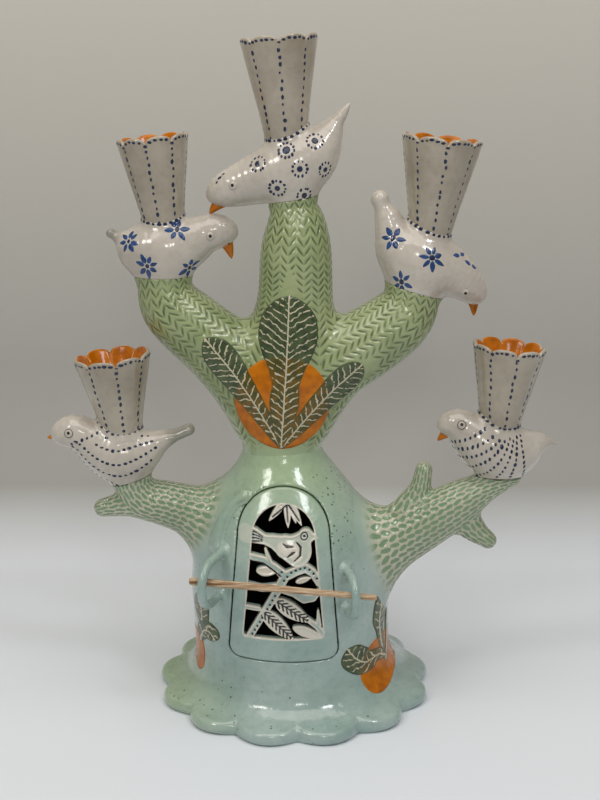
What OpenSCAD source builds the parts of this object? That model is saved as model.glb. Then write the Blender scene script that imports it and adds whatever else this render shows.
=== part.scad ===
// Clay tree of life: a glazed candelabra with a hollow trunk, a pierced door
// held by a wooden bar, and five birds that each carry a candle cup.
// Millimetres. +Z is up, the door faces -Y, and the origin is the centre of the foot.

/* [Foot plate] */
// Radius over the tips of the scallops
foot_r = 100.5; // [92:0.5:125]
// Thickness of the foot plate
foot_t = 9.5; // [7:0.5:13]
// Number of scallops round the foot
foot_lobes = 13; // [10:1:16]
// Radius of one scallop
foot_lobe_r = 24; // [20:1:30]

/* [Trunk] */
// Greatest radius of the trunk
trunk_r = 71; // [58:1:88]
// Height of the waist above the table, along the trunk
trunk_h = 187; // [170:1:226]
// Radius at the waist
waist_r = 27; // [23:0.5:33]
// Lean of the trunk to the left
lean = 2.8; // [0:0.1:4]
// Thickness of the trunk wall
wall = 10; // [8:0.5:12]

/* [Doorway] */
// Half width of the door at its foot
door_half_w = 37.5; // [30:0.5:44]
// Radius of the arch at the top of the door
door_arch_r = 31.5; // [26:0.5:37]
// Height of the foot of the door
door_z = 50; // [42:1:58]
// Height where the arch of the door begins
door_spring_z = 134.5; // [112:0.5:140]
// Thickness of the door
door_t = 6; // [4.5:0.5:7]
// Gap round the door
door_gap = 0.8; // [0.4:0.1:1.5]
// Depth of the ledge that the door stands against
ledge = 4; // [3:0.5:6]
// Width of the frame round the pierced window
door_frame = 10; // [8:0.5:12]
// Height of the rail below the window
door_rail = 17; // [12:1:22]
// How far the door rocks forward before the bar stops it
door_play = 2.5; // [1:0.1:4]

/* [Locking bar] */
// Radius of the bar at its thick end
bar_r = 2.9; // [2.3:0.1:3.5]
// Radius of the bar at its thin end
bar_tip_r = 2.2; // [1.6:0.1:2.3]
// Length of the bar
bar_len = 128; // [112:1:150]
// Height of the middle of the bar
bar_z = 105.6; // [92:0.1:115]
// Slope of the bar, down to the right
bar_slope = 5.5; // [2:0.1:7]
// Running gap between the bar and its loops
bar_gap = 0.4; // [0.2:0.1:1]
// Thickness of the clay coil of a loop, as a radius
loop_coil_r = 3.2; // [2.6:0.1:4]
// Radius of the left loop, to the middle of its coil
loop_left_r = 15; // [13:0.5:18]
// Radius of the right loop, to the middle of its coil
loop_right_r = 13.5; // [12:0.5:16]

/* [Limbs] */
// Thickness of the wall of the hollow crown
limb_wall = 7; // [5:0.5:9]

/* [Candle cups] */
// Radius of the bore that holds a candle
bore_r = 11; // [9:0.25:12]
// Depth of the bore
bore_depth = 22; // [18:1:28]
// Clay below the bore
cup_floor = 6; // [4:0.5:9]
// Radius of the foot of a cup
cup_foot_r = 14; // [13:0.25:17]
// Thickness of the rim of a cup
rim_t = 3.2; // [2.4:0.1:4.5]
// Number of scallops on the rim
rim_lobes = 8; // [6:1:10]
// Depth of the notches between the scallops
rim_notch = 5; // [3:0.5:7]

/* [Birds] */
// Radius of an eye
eye_r = 2.2; // [1.6:0.1:2.8]

/* [Hidden] */
$fn = 48;
far = 400;              // longer than anything it has to cut through
sides = 24;             // sides of a limb
bird_sides = 20;        // sides of a bird
lower_y = -20;          // the two lower birds stand forward of the upper ones
seat_gap = 0.45;        // between the back of the door and its ledge
slip = 0.05;            // the film of slip between two pieces of clay that are luted together

// ---- Small helpers -------------------------------------------------------------

function unit(v) = v / norm(v);
function last(l) = l[len(l) - 1];

// One smooth curve through a list of vectors, with k steps between neighbours
function smooth(p, k) = concat(
    [for (i = [0 : len(p) - 2]) for (j = [0 : k - 1])
        let (a = p[max(i - 1, 0)], b = p[i], c = p[i + 1], d = p[min(i + 2, len(p) - 1)], t = j / k)
        0.5 * (2 * b + (c - a) * t + (2 * a - 5 * b + 4 * c - d) * t * t
               + (3 * b - 3 * c + d - a) * t * t * t)],
    [last(p)]);

// A point given as [x, z] beside an anchor, as a station [x, y, z, half height, half depth]
function station(at, s, y) = [at[0] + s[0], y, at[1] + s[1], s[2], s[3] == undef ? s[2] : s[3]];

// A round-sided solid along stations of [x, y, z, half height, half depth]
module loft(stations, n, k = 2, shrink = 0) {
    s = smooth(stations, k);
    m = len(s);
    points = [for (i = [0 : m - 1])
        let (a = s[max(i - 1, 0)], b = s[min(i + 1, m - 1)],
             t = unit([b[0] - a[0], b[1] - a[1], b[2] - a[2]]),
             nrm = unit(cross([0, 1, 0], t)), side = cross(t, nrm),
             c = [s[i][0], s[i][1], s[i][2]])
        for (j = [0 : n - 1])
            c + nrm * (s[i][3] - shrink) * cos(360 * j / n) + side * (s[i][4] - shrink) * sin(360 * j / n)];
    walls = [for (i = [0 : m - 2]) for (j = [0 : n - 1])
        let (q = (j + 1) % n)
        [i * n + j, (i + 1) * n + j, (i + 1) * n + q, i * n + q]];
    ends = [[for (j = [0 : n - 1]) j], [for (j = [n - 1 : -1 : 0]) (m - 1) * n + j]];
    polyhedron(points = points, faces = concat(walls, ends), convexity = 6);
}

// Everything above a plane through [x, y, z] that is turned about Y by tilt
module above(seat) {
    translate([seat[0], seat[1], seat[2]]) rotate([0, seat[3], 0])
        translate([-far / 2, -far / 2, 0]) cube([far, far, far]);
}

// ---- Trunk ---------------------------------------------------------------------

// Outline of the trunk as [height, radius] along its leaning axis
trunk_outline = smooth([
    [foot_t - 4, trunk_r + 17], [foot_t + 4, trunk_r + 10], [foot_t + 13, trunk_r + 3.5],
    [foot_t + 26, trunk_r], [0.36 * trunk_h, trunk_r], [0.46 * trunk_h, trunk_r],
    [0.57 * trunk_h, 0.965 * trunk_r], [0.655 * trunk_h, 0.9 * trunk_r],
    [0.73 * trunk_h, 0.815 * trunk_r], [0.8 * trunk_h, 0.71 * trunk_r],
    [0.9 * trunk_h, 0.47 * trunk_r + 4], [0.955 * trunk_h, waist_r + 3.5], [trunk_h, waist_r]], 2);

function trunk_radius(h) = lookup(h, trunk_outline);

// The same place along and beside the leaning axis
function along_axis(x, z) = z * cos(lean) - x * sin(lean);
function beside_axis(x, z) = x * cos(lean) + z * sin(lean);

// Front of the trunk above and right of the origin
function skin_y(x, z) =
    -sqrt(max(1, pow(trunk_radius(along_axis(x, z)), 2) - pow(beside_axis(x, z), 2)));

// The middle of the waist, and the sides of the trunk where the branches leave it
waist = [-trunk_h * sin(lean), trunk_h * cos(lean)];
left_root = [-trunk_radius(0.7 * trunk_h) - 0.7 * trunk_h * sin(lean), 0.7 * trunk_h];
right_root = [trunk_radius(0.58 * trunk_h) - 0.58 * trunk_h * sin(lean), 0.58 * trunk_h];

// The trunk as a solid of revolution, with its skin moved in by depth
module trunk_solid(depth = 0, top = 0) {
    inner = [for (p = trunk_outline) [min(p[1], depth > wall / 2 ? trunk_r : far) - depth, p[0]]];
    rotate([0, -lean, 0])
        rotate_extrude($fn = 96)
            polygon(concat([[0, inner[0][1] - top]], [[inner[0][0], inner[0][1] - top]], inner,
                           [[last(inner)[0], last(inner)[1] + top], [0, last(inner)[1] + top]]));
}

module above_foot() {
    translate([-far / 2, -far / 2, foot_t]) cube([far, far, far]);
}

// ---- Doorway -------------------------------------------------------------------

door_x = -0.44 * door_spring_z * sin(lean) - 4.4;

// An arch with rounded lower corners, as points [x, z]
function arch(half_w, arch_r, z_low, z_spring, corner) = concat(
    [for (a = [180 : 22.5 : 270]) [-half_w + corner + corner * cos(a), z_low + corner + corner * sin(a)]],
    [for (a = [270 : 22.5 : 360]) [half_w - corner + corner * cos(a), z_low + corner + corner * sin(a)]],
    [for (a = [0 : 10 : 180]) [arch_r * cos(a), z_spring + arch_r * sin(a)]]);

// A flat drawing on the door, carried from in front of the door to the middle of the trunk
module through_door() {
    translate([door_x, -5, 0]) rotate([90, 0, 0]) linear_extrude(far / 2) children();
}

module door_arch(grow) {
    polygon(arch(door_half_w + grow, door_arch_r + grow, door_z - grow, door_spring_z, 8 + grow));
}

module window_arch() {
    polygon(arch(door_half_w - door_frame, door_arch_r - door_frame, door_z + door_rail,
                 door_spring_z, 2));
}

module trunk_shell() {
    color("lightseagreen") difference() {
        intersection() {
            trunk_solid();
            above_foot();
        }
        trunk_solid(wall, 5);
        through_door() door_arch(-ledge);
        difference() {
            through_door() door_arch(door_gap);
            trunk_solid(door_t + seat_gap);
        }
    }
}

// A leaf from a point, along an angle
module leaf(x, z, length, width, angle) {
    translate([x, z]) rotate(angle)
        polygon([for (i = [0 : 6]) let (t = i / 6) [t * length, width / 2 * sin(180 * pow(t, 0.8))],
                 for (i = [5 : -1 : 1]) let (t = i / 6) [t * length, -width / 2 * sin(180 * pow(t, 0.8))]]);
}

// A straight twig between two points
module twig(a, b, width) {
    d = b - a;
    translate(a) rotate(atan2(d[1], d[0])) translate([-1, -width / 2]) square([norm(d) + 2, width]);
}

// The pierced drawing inside the window: leaves, a bird and the boughs below it.
// It is placed from the middle of the window, so that it follows the door.
module fretwork() {
    mid = (door_z + door_rail + door_spring_z + door_arch_r - door_frame) / 2;
    w = door_half_w - door_frame + 3;
    translate([0, mid]) {
        for (a = [-142, -108, -72, -38]) leaf(2, 46, 19, 8, a);
        translate([4, 13]) circle(9.5);
        translate([13, 23]) circle(5.5);
        twig([13, 23], [w - 4, 22], 3);
        leaf(9, 10, 30, 13, 158);
        twig([-10, 18], [-w + 2, 23], 8);
        twig([-w, 8], [-4, -3], 5);
        twig([4, 8], [2, -4], 4);
        twig([-4, -3], [w, -1], 6);
        twig([-1, -3], [-16, -26], 4);
        twig([-16, -26], [-19, -50], 4.5);
        leaf(-8, -13, 36, 13, -38);
        leaf(-15, -24, 28, 12, -58);
        leaf(w - 1, -24, 26, 12, 205);
        twig([-15, -20], [-w, -17], 3);
    }
}

module door_panel() {
    color("lightblue") intersection() {
        difference() {
            trunk_solid();
            trunk_solid(door_t);
        }
        through_door() difference() {
            door_arch(0);
            difference() {
                window_arch();
                fretwork();
            }
        }
    }
}

// ---- Locking bar and its loops -------------------------------------------------

// Height of the bar's axis at x, and its radius there
function bar_height(x) = bar_z - (x - door_x) * tan(bar_slope);
function bar_radius(x) = let (t = (x - door_x) / bar_len + 0.5) bar_r + (bar_tip_r - bar_r) * t;

// The bar clears the front of the door by the door's play
bar_y = -trunk_radius(along_axis(door_x, bar_z)) - door_play - bar_gap - bar_r;

// A loop stands out from the trunk at x, turned outwards, with the bar a little above its middle
module bar_loop(x, ring_r, turn) {
    drop = 3;
    reach = ring_r * cos(turn) - loop_coil_r - bar_radius(x) - bar_gap;
    centre = [x, bar_y + sqrt(reach * reach - drop * drop), bar_height(x) - drop];
    color("mediumaquamarine") difference() {
        translate(centre) rotate([0, 0, turn]) {
            rotate([90, 0, 90]) rotate([0, 0, 90])
                rotate_extrude(angle = 180, $fn = 64) translate([ring_r, 0]) circle(loop_coil_r, $fn = 32);
            for (s = [-1, 1])
                translate([0, 0, s * ring_r]) rotate([-90, 0, 0])
                    cylinder(r = loop_coil_r, h = far / 10, $fn = 32);
        }
        trunk_solid();
    }
}

loop_left_x = door_x - door_half_w - 12;
loop_right_x = door_x + door_half_w + 9;

module bar_loop_left() { bar_loop(loop_left_x, loop_left_r, -20); }
module bar_loop_right() { bar_loop(loop_right_x, loop_right_r, 12); }

module locking_bar() {
    color("burlywood")
        translate([door_x, bar_y, bar_z]) rotate([0, 90 + bar_slope, 0])
            cylinder(r1 = bar_r, r2 = bar_tip_r, h = bar_len, center = true);
}

// A coil of clay on the skin of the trunk, round the upper left of the doorway
module doorway_coil() {
    route = smooth([for (p = [[3, 26], [-5, 21], [-12, 10], [-16, -2], [-17, -10]])
        let (x = door_x - door_arch_r + p[0], z = door_spring_z + p[1])
        [x, skin_y(x, z), z, 3, 3]], 3);
    color("mediumaquamarine") difference() {
        loft(route, 10, 1);
        trunk_solid(-slip);
        bar_loop_left();
        through_door() door_arch(door_gap);
    }
}

// ---- Foot plate ----------------------------------------------------------------

module foot_outline(grow) {
    ring_r = foot_r - foot_lobe_r;
    circle(ring_r + 6 + grow, $fn = 96);
    for (i = [0 : foot_lobes - 1])
        rotate(-102.3 + i * 360 / foot_lobes) translate([ring_r, 0]) circle(foot_lobe_r + grow);
}

module base_plate() {
    edge = 1.8;
    color("lightseagreen") {
        linear_extrude(foot_t) foot_outline(-edge);
        translate([0, 0, edge]) linear_extrude(foot_t - 2 * edge) foot_outline(0);
    }
}

// ---- Crown ---------------------------------------------------------------------

// Stations from the waist: [right, up, half width, half depth]
centre_limb = [for (s = [
    [-0.3, -4, 27, 27], [1, 14, 31, 27.5], [1, 28, 38.5, 28.5], [2.5, 45, 42, 29],
    [5.5, 65, 36, 29], [8.5, 85, 29.5, 28], [10, 107, 25.7, 25.5], [10.5, 136, 24.2, 24],
    [11, 154, 20, 20], [9.7, 166, 15.8, 16], [9.4, 180, 14.5, 15]]) station(waist, s, 0)];
left_limb = [for (s = [
    [-3, 30, 24, 22], [-23.5, 47.5, 26, 24], [-43.5, 69, 25, 24], [-62.5, 85.5, 23.5, 23],
    [-75, 97.5, 21.5, 21.5], [-80, 109.5, 19, 19.5], [-81, 125, 17.5, 18]]) station(waist, s, 0)];
right_limb = [for (s = [
    [5, 27, 24, 22], [20, 44, 26.5, 24], [40, 60.5, 26, 24.5], [61.5, 74, 24.8, 24],
    [79.5, 87, 22.8, 22.5], [89, 99, 20, 20], [93.5, 122, 18, 18.5]]) station(waist, s, 0)];

// The open middle of the crown, joined to the hollow of the trunk
module crown_hollow() {
    loft([for (i = [0 : 7]) centre_limb[i] - (i == 0 ? [0, 0, 6, 0, 0] : [0, 0, 0, 0, 0])],
         sides, 2, limb_wall);
    loft([for (i = [0 : 4]) left_limb[i]], sides, 2, limb_wall);
    loft([for (i = [0 : 4]) right_limb[i]], sides, 2, limb_wall);
}

module crown_limb_centre() {
    color("darkseagreen") difference() {
        loft(centre_limb, sides);
        above(bird(2)[1]);
        trunk_solid();
        crown_hollow();
    }
}

module side_limb(stations, seat) {
    color("darkseagreen") difference() {
        loft(stations, sides);
        above(seat);
        loft(centre_limb, sides);
        trunk_solid();
        crown_hollow();
    }
}

module crown_limb_left() { side_limb(left_limb, bird(3)[1]); }
module crown_limb_right() { side_limb(right_limb, bird(4)[1]); }

// ---- Lower branches ------------------------------------------------------------

// Stations from the side of the trunk: [right, up, half height, half depth, forward]
function bough(root, list) = [for (s = list) [root[0] + s[0], s[4], root[1] + s[1], s[2], s[3]]];

left_bough = bough(left_root, [
    [24, -2, 24, 20, 0], [2, 3, 20, 19, -5], [-12, 9.5, 17.5, 17, -9], [-26, 15.5, 16, 15.5, -14],
    [-38, 20.5, 14.5, 14.5, -18], [-46.5, 31, 13, 13.5, -20], [-49, 44, 12, 12.5, -20]]);
left_knob = bough(left_root, [
    [-36, 19, 12, 12, -17], [-51, 17.5, 9.5, 9.5, -20], [-61, 15.5, 7.6, 7.6, -20],
    [-69.5, 14, 6.8, 6.8, -20], [-74, 13.3, 3, 3, -20]]);
right_bough = bough(right_root, [
    [-22, -8, 29, 22, 0], [-2, 2, 24.5, 21, -5], [18, 14.5, 21, 19, -10], [38, 28.5, 18.5, 17, -15],
    [56, 41.5, 15, 15, -19], [70, 50, 10.5, 12, -20], [83, 54.5, 6, 9, -20], [95, 57.3, 2.6, 5, -20]]);
right_stub = bough(right_root, [
    [20, 30, 14, 12, -11], [26.5, 48, 7.8, 8, -13], [29, 62.5, 6, 6.5, -14]]);
right_spur = bough(right_root, [
    [54, 32, 14, 11, -17], [66, 19, 8.5, 8, -19], [75.5, 12, 6, 6.5, -20]]);

module branch_left() {
    color("darkseagreen") difference() {
        union() {
            loft(left_bough, sides);
            loft(left_knob, sides);
        }
        above(bird(0)[1]);
        trunk_solid(-slip);
    }
}

module branch_right() {
    color("darkseagreen") difference() {
        union() {
            loft(right_bough, sides);
            loft(right_stub, sides);
            loft(right_spur, sides);
        }
        intersection() {
            above(bird(1)[1]);
            translate([right_root[0] + 40, -far / 2, 0]) cube([far, far, far]);
        }
        trunk_solid(-slip);
    }
}

// ---- Birds and candle cups -----------------------------------------------------

// Each bird: name, seat [x, y, z, tilt], cup [x, z, lean, height, rim radius],
// body and tail stations [x, z, half height, half depth], beak [x, z, angle, length, radius]
// and eye [x, z]. Places are beside the limb that the bird stands on.
BIRDS = [
    ["lower_left", left_root, lower_y, [-49.3, 36, -17],
        [-52.8, 71.3, -5.9, 54.5, 27.3],
        [[-98, 68, 2.5], [-94.5, 69, 8.5], [-86.5, 70, 12], [-77.5, 66, 13], [-66.5, 58, 17],
         [-54.5, 53, 20], [-42.5, 55, 16.5], [-32.5, 60, 10.5], [-24.5, 64.5, 6, 7]],
        [[-31, 61, 4.5, 6.5], [-18, 66.5, 4.4, 7], [-6.5, 71.5, 4.2, 6.5], [-3, 73, 1.5, 3]],
        [-94.5, 67.3, 180, 11, 4], [-88.3, 72]],
    ["lower_right", right_root, lower_y, [75, 61, 0],
        [80.3, 97.7, 4.9, 57.5, 25.3],
        [[41.8, 96.5, 2.5], [44.3, 97.5, 7.5], [51.3, 97.7, 11], [59.3, 91.5, 14.5],
         [68.3, 84.5, 18.5], [78.3, 79.5, 20.5], [89.3, 78, 18], [98.3, 80.5, 13], [105.3, 84.5, 7.5]],
        [[100, 82.5, 6.5, 7], [108, 85.2, 5.2, 6], [115, 85, 3, 4], [121, 83.8, 1.2, 1.6]],
        [45, 92.6, 212, 10, 4.2], [52.6, 100.3]],
    ["top", waist, 0, [10.8, 174, -9],
        [4, 212.2, -4.2, 69, 26.8],
        [[-46, 176.3, 2.5], [-43, 177.3, 8], [-35, 180.3, 12.5], [-23, 184.3, 15.5],
         [-9, 188.8, 18.8], [5, 193.3, 22], [17, 199.3, 20.5], [26, 207.3, 15], [32, 215.3, 9.5]],
        [[28, 210.5, 8.5], [36, 222.5, 5.5], [42, 230.5, 3.4], [46.5, 236.7, 1.2]],
        [-39.5, 173, 217, 13, 5.2], [-31.8, 183.6]],
    ["upper_left", waist, 0, [-79, 121, 0],
        [-79.8, 155.8, -6.4, 60.5, 24.7],
        [[-34, 151.5, 2.5], [-37, 151.3, 8], [-45, 151.3, 12.3], [-54, 148.3, 13.5],
         [-65, 142.8, 17.5], [-79, 138.3, 21.5], [-91, 137.8, 19.5], [-100, 140.3, 13], [-106, 143.3, 6]],
        [[-100, 141, 5.5, 6], [-109, 145.8, 3.2, 5], [-116.5, 150, 3.6, 4.5], [-119, 151.7, 1.5, 2]],
        [-37.5, 144, -63, 12, 4.4], [-47.5, 149.5]],
    ["upper_right", waist, 0, [91.5, 111.5, 17],
        [102, 146.8, 6.2, 69, 27.9],
        [[136, 105.8, 3], [134, 109.3, 9], [127, 116.3, 13], [117, 123.3, 17], [105, 128.3, 21],
         [93, 132.3, 23], [83, 139.3, 18], [77, 149.3, 12], [74, 159.3, 8.5]],
        [[75.5, 155, 8], [70.5, 166, 5.8], [67.5, 173.3, 6.6], [66, 179, 2.5]],
        [133, 106.5, -75, 14, 4.6], [126.6, 110.6]]
];

// A bird's seat, cup, body, tail, beak and eye in the model's own frame
function bird(i) = let (b = BIRDS[i], at = b[1], y = b[2]) [
    b[0],
    [at[0] + b[3][0], y, at[1] + b[3][1], b[3][2]],
    [at[0] + b[4][0], y, at[1] + b[4][1], b[4][2], b[4][3], b[4][4]],
    [for (s = b[5]) station(at, s, y)],
    [for (s = b[6]) station(at, s, y)],
    [at[0] + b[7][0], y, at[1] + b[7][1], b[7][2], b[7][3], b[7][4]],
    [at[0] + b[8][0], y, at[1] + b[8][1]]];

module at_cup(c) {
    translate([c[0], c[1], c[2]]) rotate([0, c[3], 0]) children();
}

// Outline of a cup as [radius, height], from its foot to its rim
function cup_outline(c) = let (h = c[4], flare = c[5] - cup_foot_r)
    [for (p = [[0, 0], [0.08, 0.1], [0.27, 0.3], [0.55, 0.55], [0.84, 0.82], [1, 1]])
        [cup_foot_r + flare * p[0], h * p[1]]];

module cup_solid(c) {
    at_cup(c) rotate_extrude($fn = 72) polygon(concat([[0, 0]], cup_outline(c), [[0, c[4]]]));
}

module cup(c) {
    top = cup_floor + bore_depth;
    color("linen") difference() {
        cup_solid(c);
        at_cup(c) {
            translate([0, 0, cup_floor]) cylinder(r = bore_r, h = bore_depth + 0.01, $fn = 72);
            translate([0, 0, top])
                cylinder(r1 = bore_r, r2 = c[5] - rim_t, h = c[4] - top + 0.01, $fn = 72);
            for (i = [0 : rim_lobes - 1])
                rotate([90, 0, i * 360 / rim_lobes]) translate([0, c[4], bore_r / 2])
                    linear_extrude(far / 10) polygon([[-5, 1], [5, 1], [0, -rim_notch]]);
        }
    }
}

module bird_solid(b) {
    difference() {
        intersection() {
            loft(b[3], bird_sides);
            above(b[1]);
        }
        cup_solid(b[2]);
    }
}

module bird_body(b) {
    color("linen") bird_solid(b);
}

module tail(b) {
    color("antiquewhite") difference() {
        loft(b[4], 14);
        loft(b[3], bird_sides);
        cup_solid(b[2]);
    }
}

module beak(b) {
    k = b[5];
    color("darkorange") difference() {
        translate([k[0], k[1], k[2]]) rotate([0, 90 - k[3], 0])
            cylinder(r1 = k[5], r2 = 0.7, h = k[4], $fn = 32);
        loft(b[3], bird_sides);
    }
}

// Half depth of a body beside a point
function half_depth(stations, x, z) = let (
    s = smooth(stations, 2),
    far_off = [for (p = s) norm([p[0] - x, p[2] - z])],
    p = s[search(min(far_off), far_off)[0]], d = min(min(far_off) / p[3], 0.9))
    p[4] * sqrt(1 - d * d);

module eyes(b) {
    e = b[6];
    d = half_depth(b[3], e[0], e[2]);
    color("black") difference() {
        for (s = [-1, 1]) translate([e[0], e[1] + s * (d - 3), e[2]]) rotate([-90 * s, 0, 0])
            cylinder(r1 = eye_r, r2 = eye_r * 0.7, h = 4.2, $fn = 48);
        loft(b[3], bird_sides, 2, -slip);
    }
}

// ---- The nodes -----------------------------------------------------------------

base_plate();
trunk_shell();
crown_limb_centre();
crown_limb_left();
crown_limb_right();
branch_left();
branch_right();
doorway_coil();
bar_loop_left();
bar_loop_right();
door_panel();
locking_bar();
for (i = [0 : len(BIRDS) - 1]) {
    bird_body(bird(i));
    cup(bird(i)[2]);
    beak(bird(i));
    eyes(bird(i));
    tail(bird(i));
}
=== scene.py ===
"""Looks of the clay tree of life: glazed clay skins, painted decoration, door, bar, stage and camera.

Lengths are in millimetres until a mesh is made. +Z is up and the door faces -Y.
"""
import math
import bpy
import numpy as np
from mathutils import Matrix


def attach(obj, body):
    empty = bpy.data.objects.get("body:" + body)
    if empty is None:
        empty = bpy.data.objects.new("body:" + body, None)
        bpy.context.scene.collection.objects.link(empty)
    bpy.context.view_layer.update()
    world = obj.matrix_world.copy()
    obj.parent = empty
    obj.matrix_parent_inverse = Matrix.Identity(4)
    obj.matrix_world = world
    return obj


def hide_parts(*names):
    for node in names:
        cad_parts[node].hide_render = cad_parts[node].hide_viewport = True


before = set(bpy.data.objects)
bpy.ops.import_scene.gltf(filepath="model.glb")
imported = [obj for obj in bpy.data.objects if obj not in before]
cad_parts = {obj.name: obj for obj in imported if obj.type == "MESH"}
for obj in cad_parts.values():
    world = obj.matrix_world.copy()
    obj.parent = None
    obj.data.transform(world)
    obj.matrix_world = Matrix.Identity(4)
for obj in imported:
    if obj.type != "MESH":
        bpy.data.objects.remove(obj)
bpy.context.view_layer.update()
rng = np.random.default_rng(7)

# ---- Sizes of the clay tree, in mm ---------------------------------------------------------

LEAN = math.radians(2.8)        # the trunk leans to the left
TRUNK_R, TRUNK_H, WAIST_R, WALL = 71.0, 187.0, 27.0, 10.0
FOOT_R, FOOT_T, FOOT_LOBES, LOBE_R = 100.5, 9.5, 13, 24.0
DOOR_HALF, DOOR_ARCH, DOOR_LOW, DOOR_SPRING, DOOR_T, DOOR_GAP = 37.5, 31.5, 50.0, 134.5, 6.0, 0.8
DOOR_X = -0.44 * DOOR_SPRING * math.sin(LEAN) - 4.4
BAR_R, BAR_TIP_R, BAR_LEN, BAR_Z, BAR_SLOPE = 2.9, 2.2, 128.0, 105.6, math.radians(5.5)
BORE_R, BORE_DEPTH, CUP_FLOOR, CUP_FOOT_R, RIM_T, RIM_LOBES, RIM_NOTCH = 11.0, 22.0, 6.0, 14.0, 3.2, 8, 5.0


def smooth_path(points, steps):
    """A Catmull-Rom curve through rows of numbers, with that many steps between neighbours."""
    p = np.asarray(points, dtype=float)
    i = np.repeat(np.arange(len(p) - 1), steps)
    t = np.tile(np.arange(steps) / steps, len(p) - 1)[:, None]
    a, b, c, d = (p[np.clip(i + k, 0, len(p) - 1)] for k in (-1, 0, 1, 2))
    q = 0.5 * (2 * b + (c - a) * t + (2 * a - 5 * b + 4 * c - d) * t ** 2 + (3 * b - 3 * c + d - a) * t ** 3)
    return np.vstack([q, p[-1]])


TRUNK_OUTLINE = smooth_path([
    [FOOT_T - 4, TRUNK_R + 17], [FOOT_T + 4, TRUNK_R + 10], [FOOT_T + 13, TRUNK_R + 3.5],
    [FOOT_T + 26, TRUNK_R], [0.36 * TRUNK_H, TRUNK_R], [0.46 * TRUNK_H, TRUNK_R],
    [0.57 * TRUNK_H, 0.965 * TRUNK_R], [0.655 * TRUNK_H, 0.9 * TRUNK_R],
    [0.73 * TRUNK_H, 0.815 * TRUNK_R], [0.8 * TRUNK_H, 0.71 * TRUNK_R],
    [0.9 * TRUNK_H, 0.47 * TRUNK_R + 4], [0.955 * TRUNK_H, WAIST_R + 3.5], [TRUNK_H, WAIST_R]], 6)


def trunk_radius(height):
    """Radius of the bell at a height along its leaning axis, read off its outline."""
    return np.interp(height, TRUNK_OUTLINE[:, 0], TRUNK_OUTLINE[:, 1])


WAIST = np.array([-TRUNK_H * math.sin(LEAN), TRUNK_H * math.cos(LEAN)])
LEFT_ROOT = np.array([-trunk_radius(0.7 * TRUNK_H) - 0.7 * TRUNK_H * math.sin(LEAN), 0.7 * TRUNK_H])
RIGHT_ROOT = np.array([trunk_radius(0.58 * TRUNK_H) - 0.58 * TRUNK_H * math.sin(LEAN), 0.58 * TRUNK_H])


def stations(root, rows, steps=4):
    """Rows of [right, up, half height, half depth, forward] beside a root, as a smooth list of
    [x, y, z, half height, half depth]."""
    full = [(r + (r[2],) if len(r) == 3 else r) for r in map(tuple, rows)]
    full = [r + (0,) if len(r) == 4 else r for r in full]
    return smooth_path([[root[0] + r[0], r[4], root[1] + r[1], r[2], r[3]] for r in full], steps)


CENTRE_LIMB = stations(WAIST, [
    [-0.3, -14, 25, 25], [-0.3, -4, 27, 27], [1, 14, 31, 27.5], [1, 28, 38.5, 28.5], [2.5, 45, 42, 29],
    [5.5, 65, 36, 29], [8.5, 85, 29.5, 28], [10, 107, 25.7, 25.5], [10.5, 136, 24.2, 24],
    [11, 154, 20, 20], [9.7, 166, 15.8, 16], [9.4, 184, 14.5, 15]])
LEFT_LIMB = stations(WAIST, [
    [-3, 30, 24, 22], [-23.5, 47.5, 26, 24], [-43.5, 69, 25, 24], [-62.5, 85.5, 23.5, 23],
    [-75, 97.5, 21.5, 21.5], [-80, 109.5, 19, 19.5], [-81, 127, 17.5, 18]])
RIGHT_LIMB = stations(WAIST, [
    [5, 27, 24, 22], [20, 44, 26.5, 24], [40, 60.5, 26, 24.5], [61.5, 74, 24.8, 24],
    [79.5, 87, 22.8, 22.5], [89, 99, 20, 20], [93.5, 122, 18, 18.5]])
LEFT_BOUGH = stations(LEFT_ROOT, [
    [24, -2, 24, 20, 0], [2, 3, 20, 19, -5], [-12, 9.5, 17.5, 17, -9], [-26, 15.5, 16, 15.5, -14],
    [-38, 20.5, 14.5, 14.5, -18], [-46.5, 31, 13, 13.5, -20], [-49, 46, 12, 12.5, -20]])
LEFT_KNOB = stations(LEFT_ROOT, [
    [-36, 19, 12, 12, -17], [-51, 17.5, 9.5, 9.5, -20], [-61, 15.5, 7.6, 7.6, -20],
    [-68.5, 14, 6.4, 6.4, -20]])
RIGHT_BOUGH = stations(RIGHT_ROOT, [
    [-22, -8, 29, 22, 0], [-2, 2, 24.5, 21, -5], [18, 14.5, 21, 19, -10], [38, 28.5, 18.5, 17, -15],
    [56, 41.5, 15, 15, -19], [70, 50, 10.5, 12, -20], [83, 54.5, 6, 9, -20], [93, 57, 2.6, 5, -20]])
RIGHT_STUB = stations(RIGHT_ROOT, [
    [20, 30, 14, 12, -11], [26.5, 48, 7.8, 8, -13], [29, 62.5, 6, 6.5, -14]])
RIGHT_SPUR = stations(RIGHT_ROOT, [
    [54, 32, 14, 11, -17], [66, 19, 8.5, 8, -19], [75.5, 12, 6, 6.5, -20]])

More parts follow.
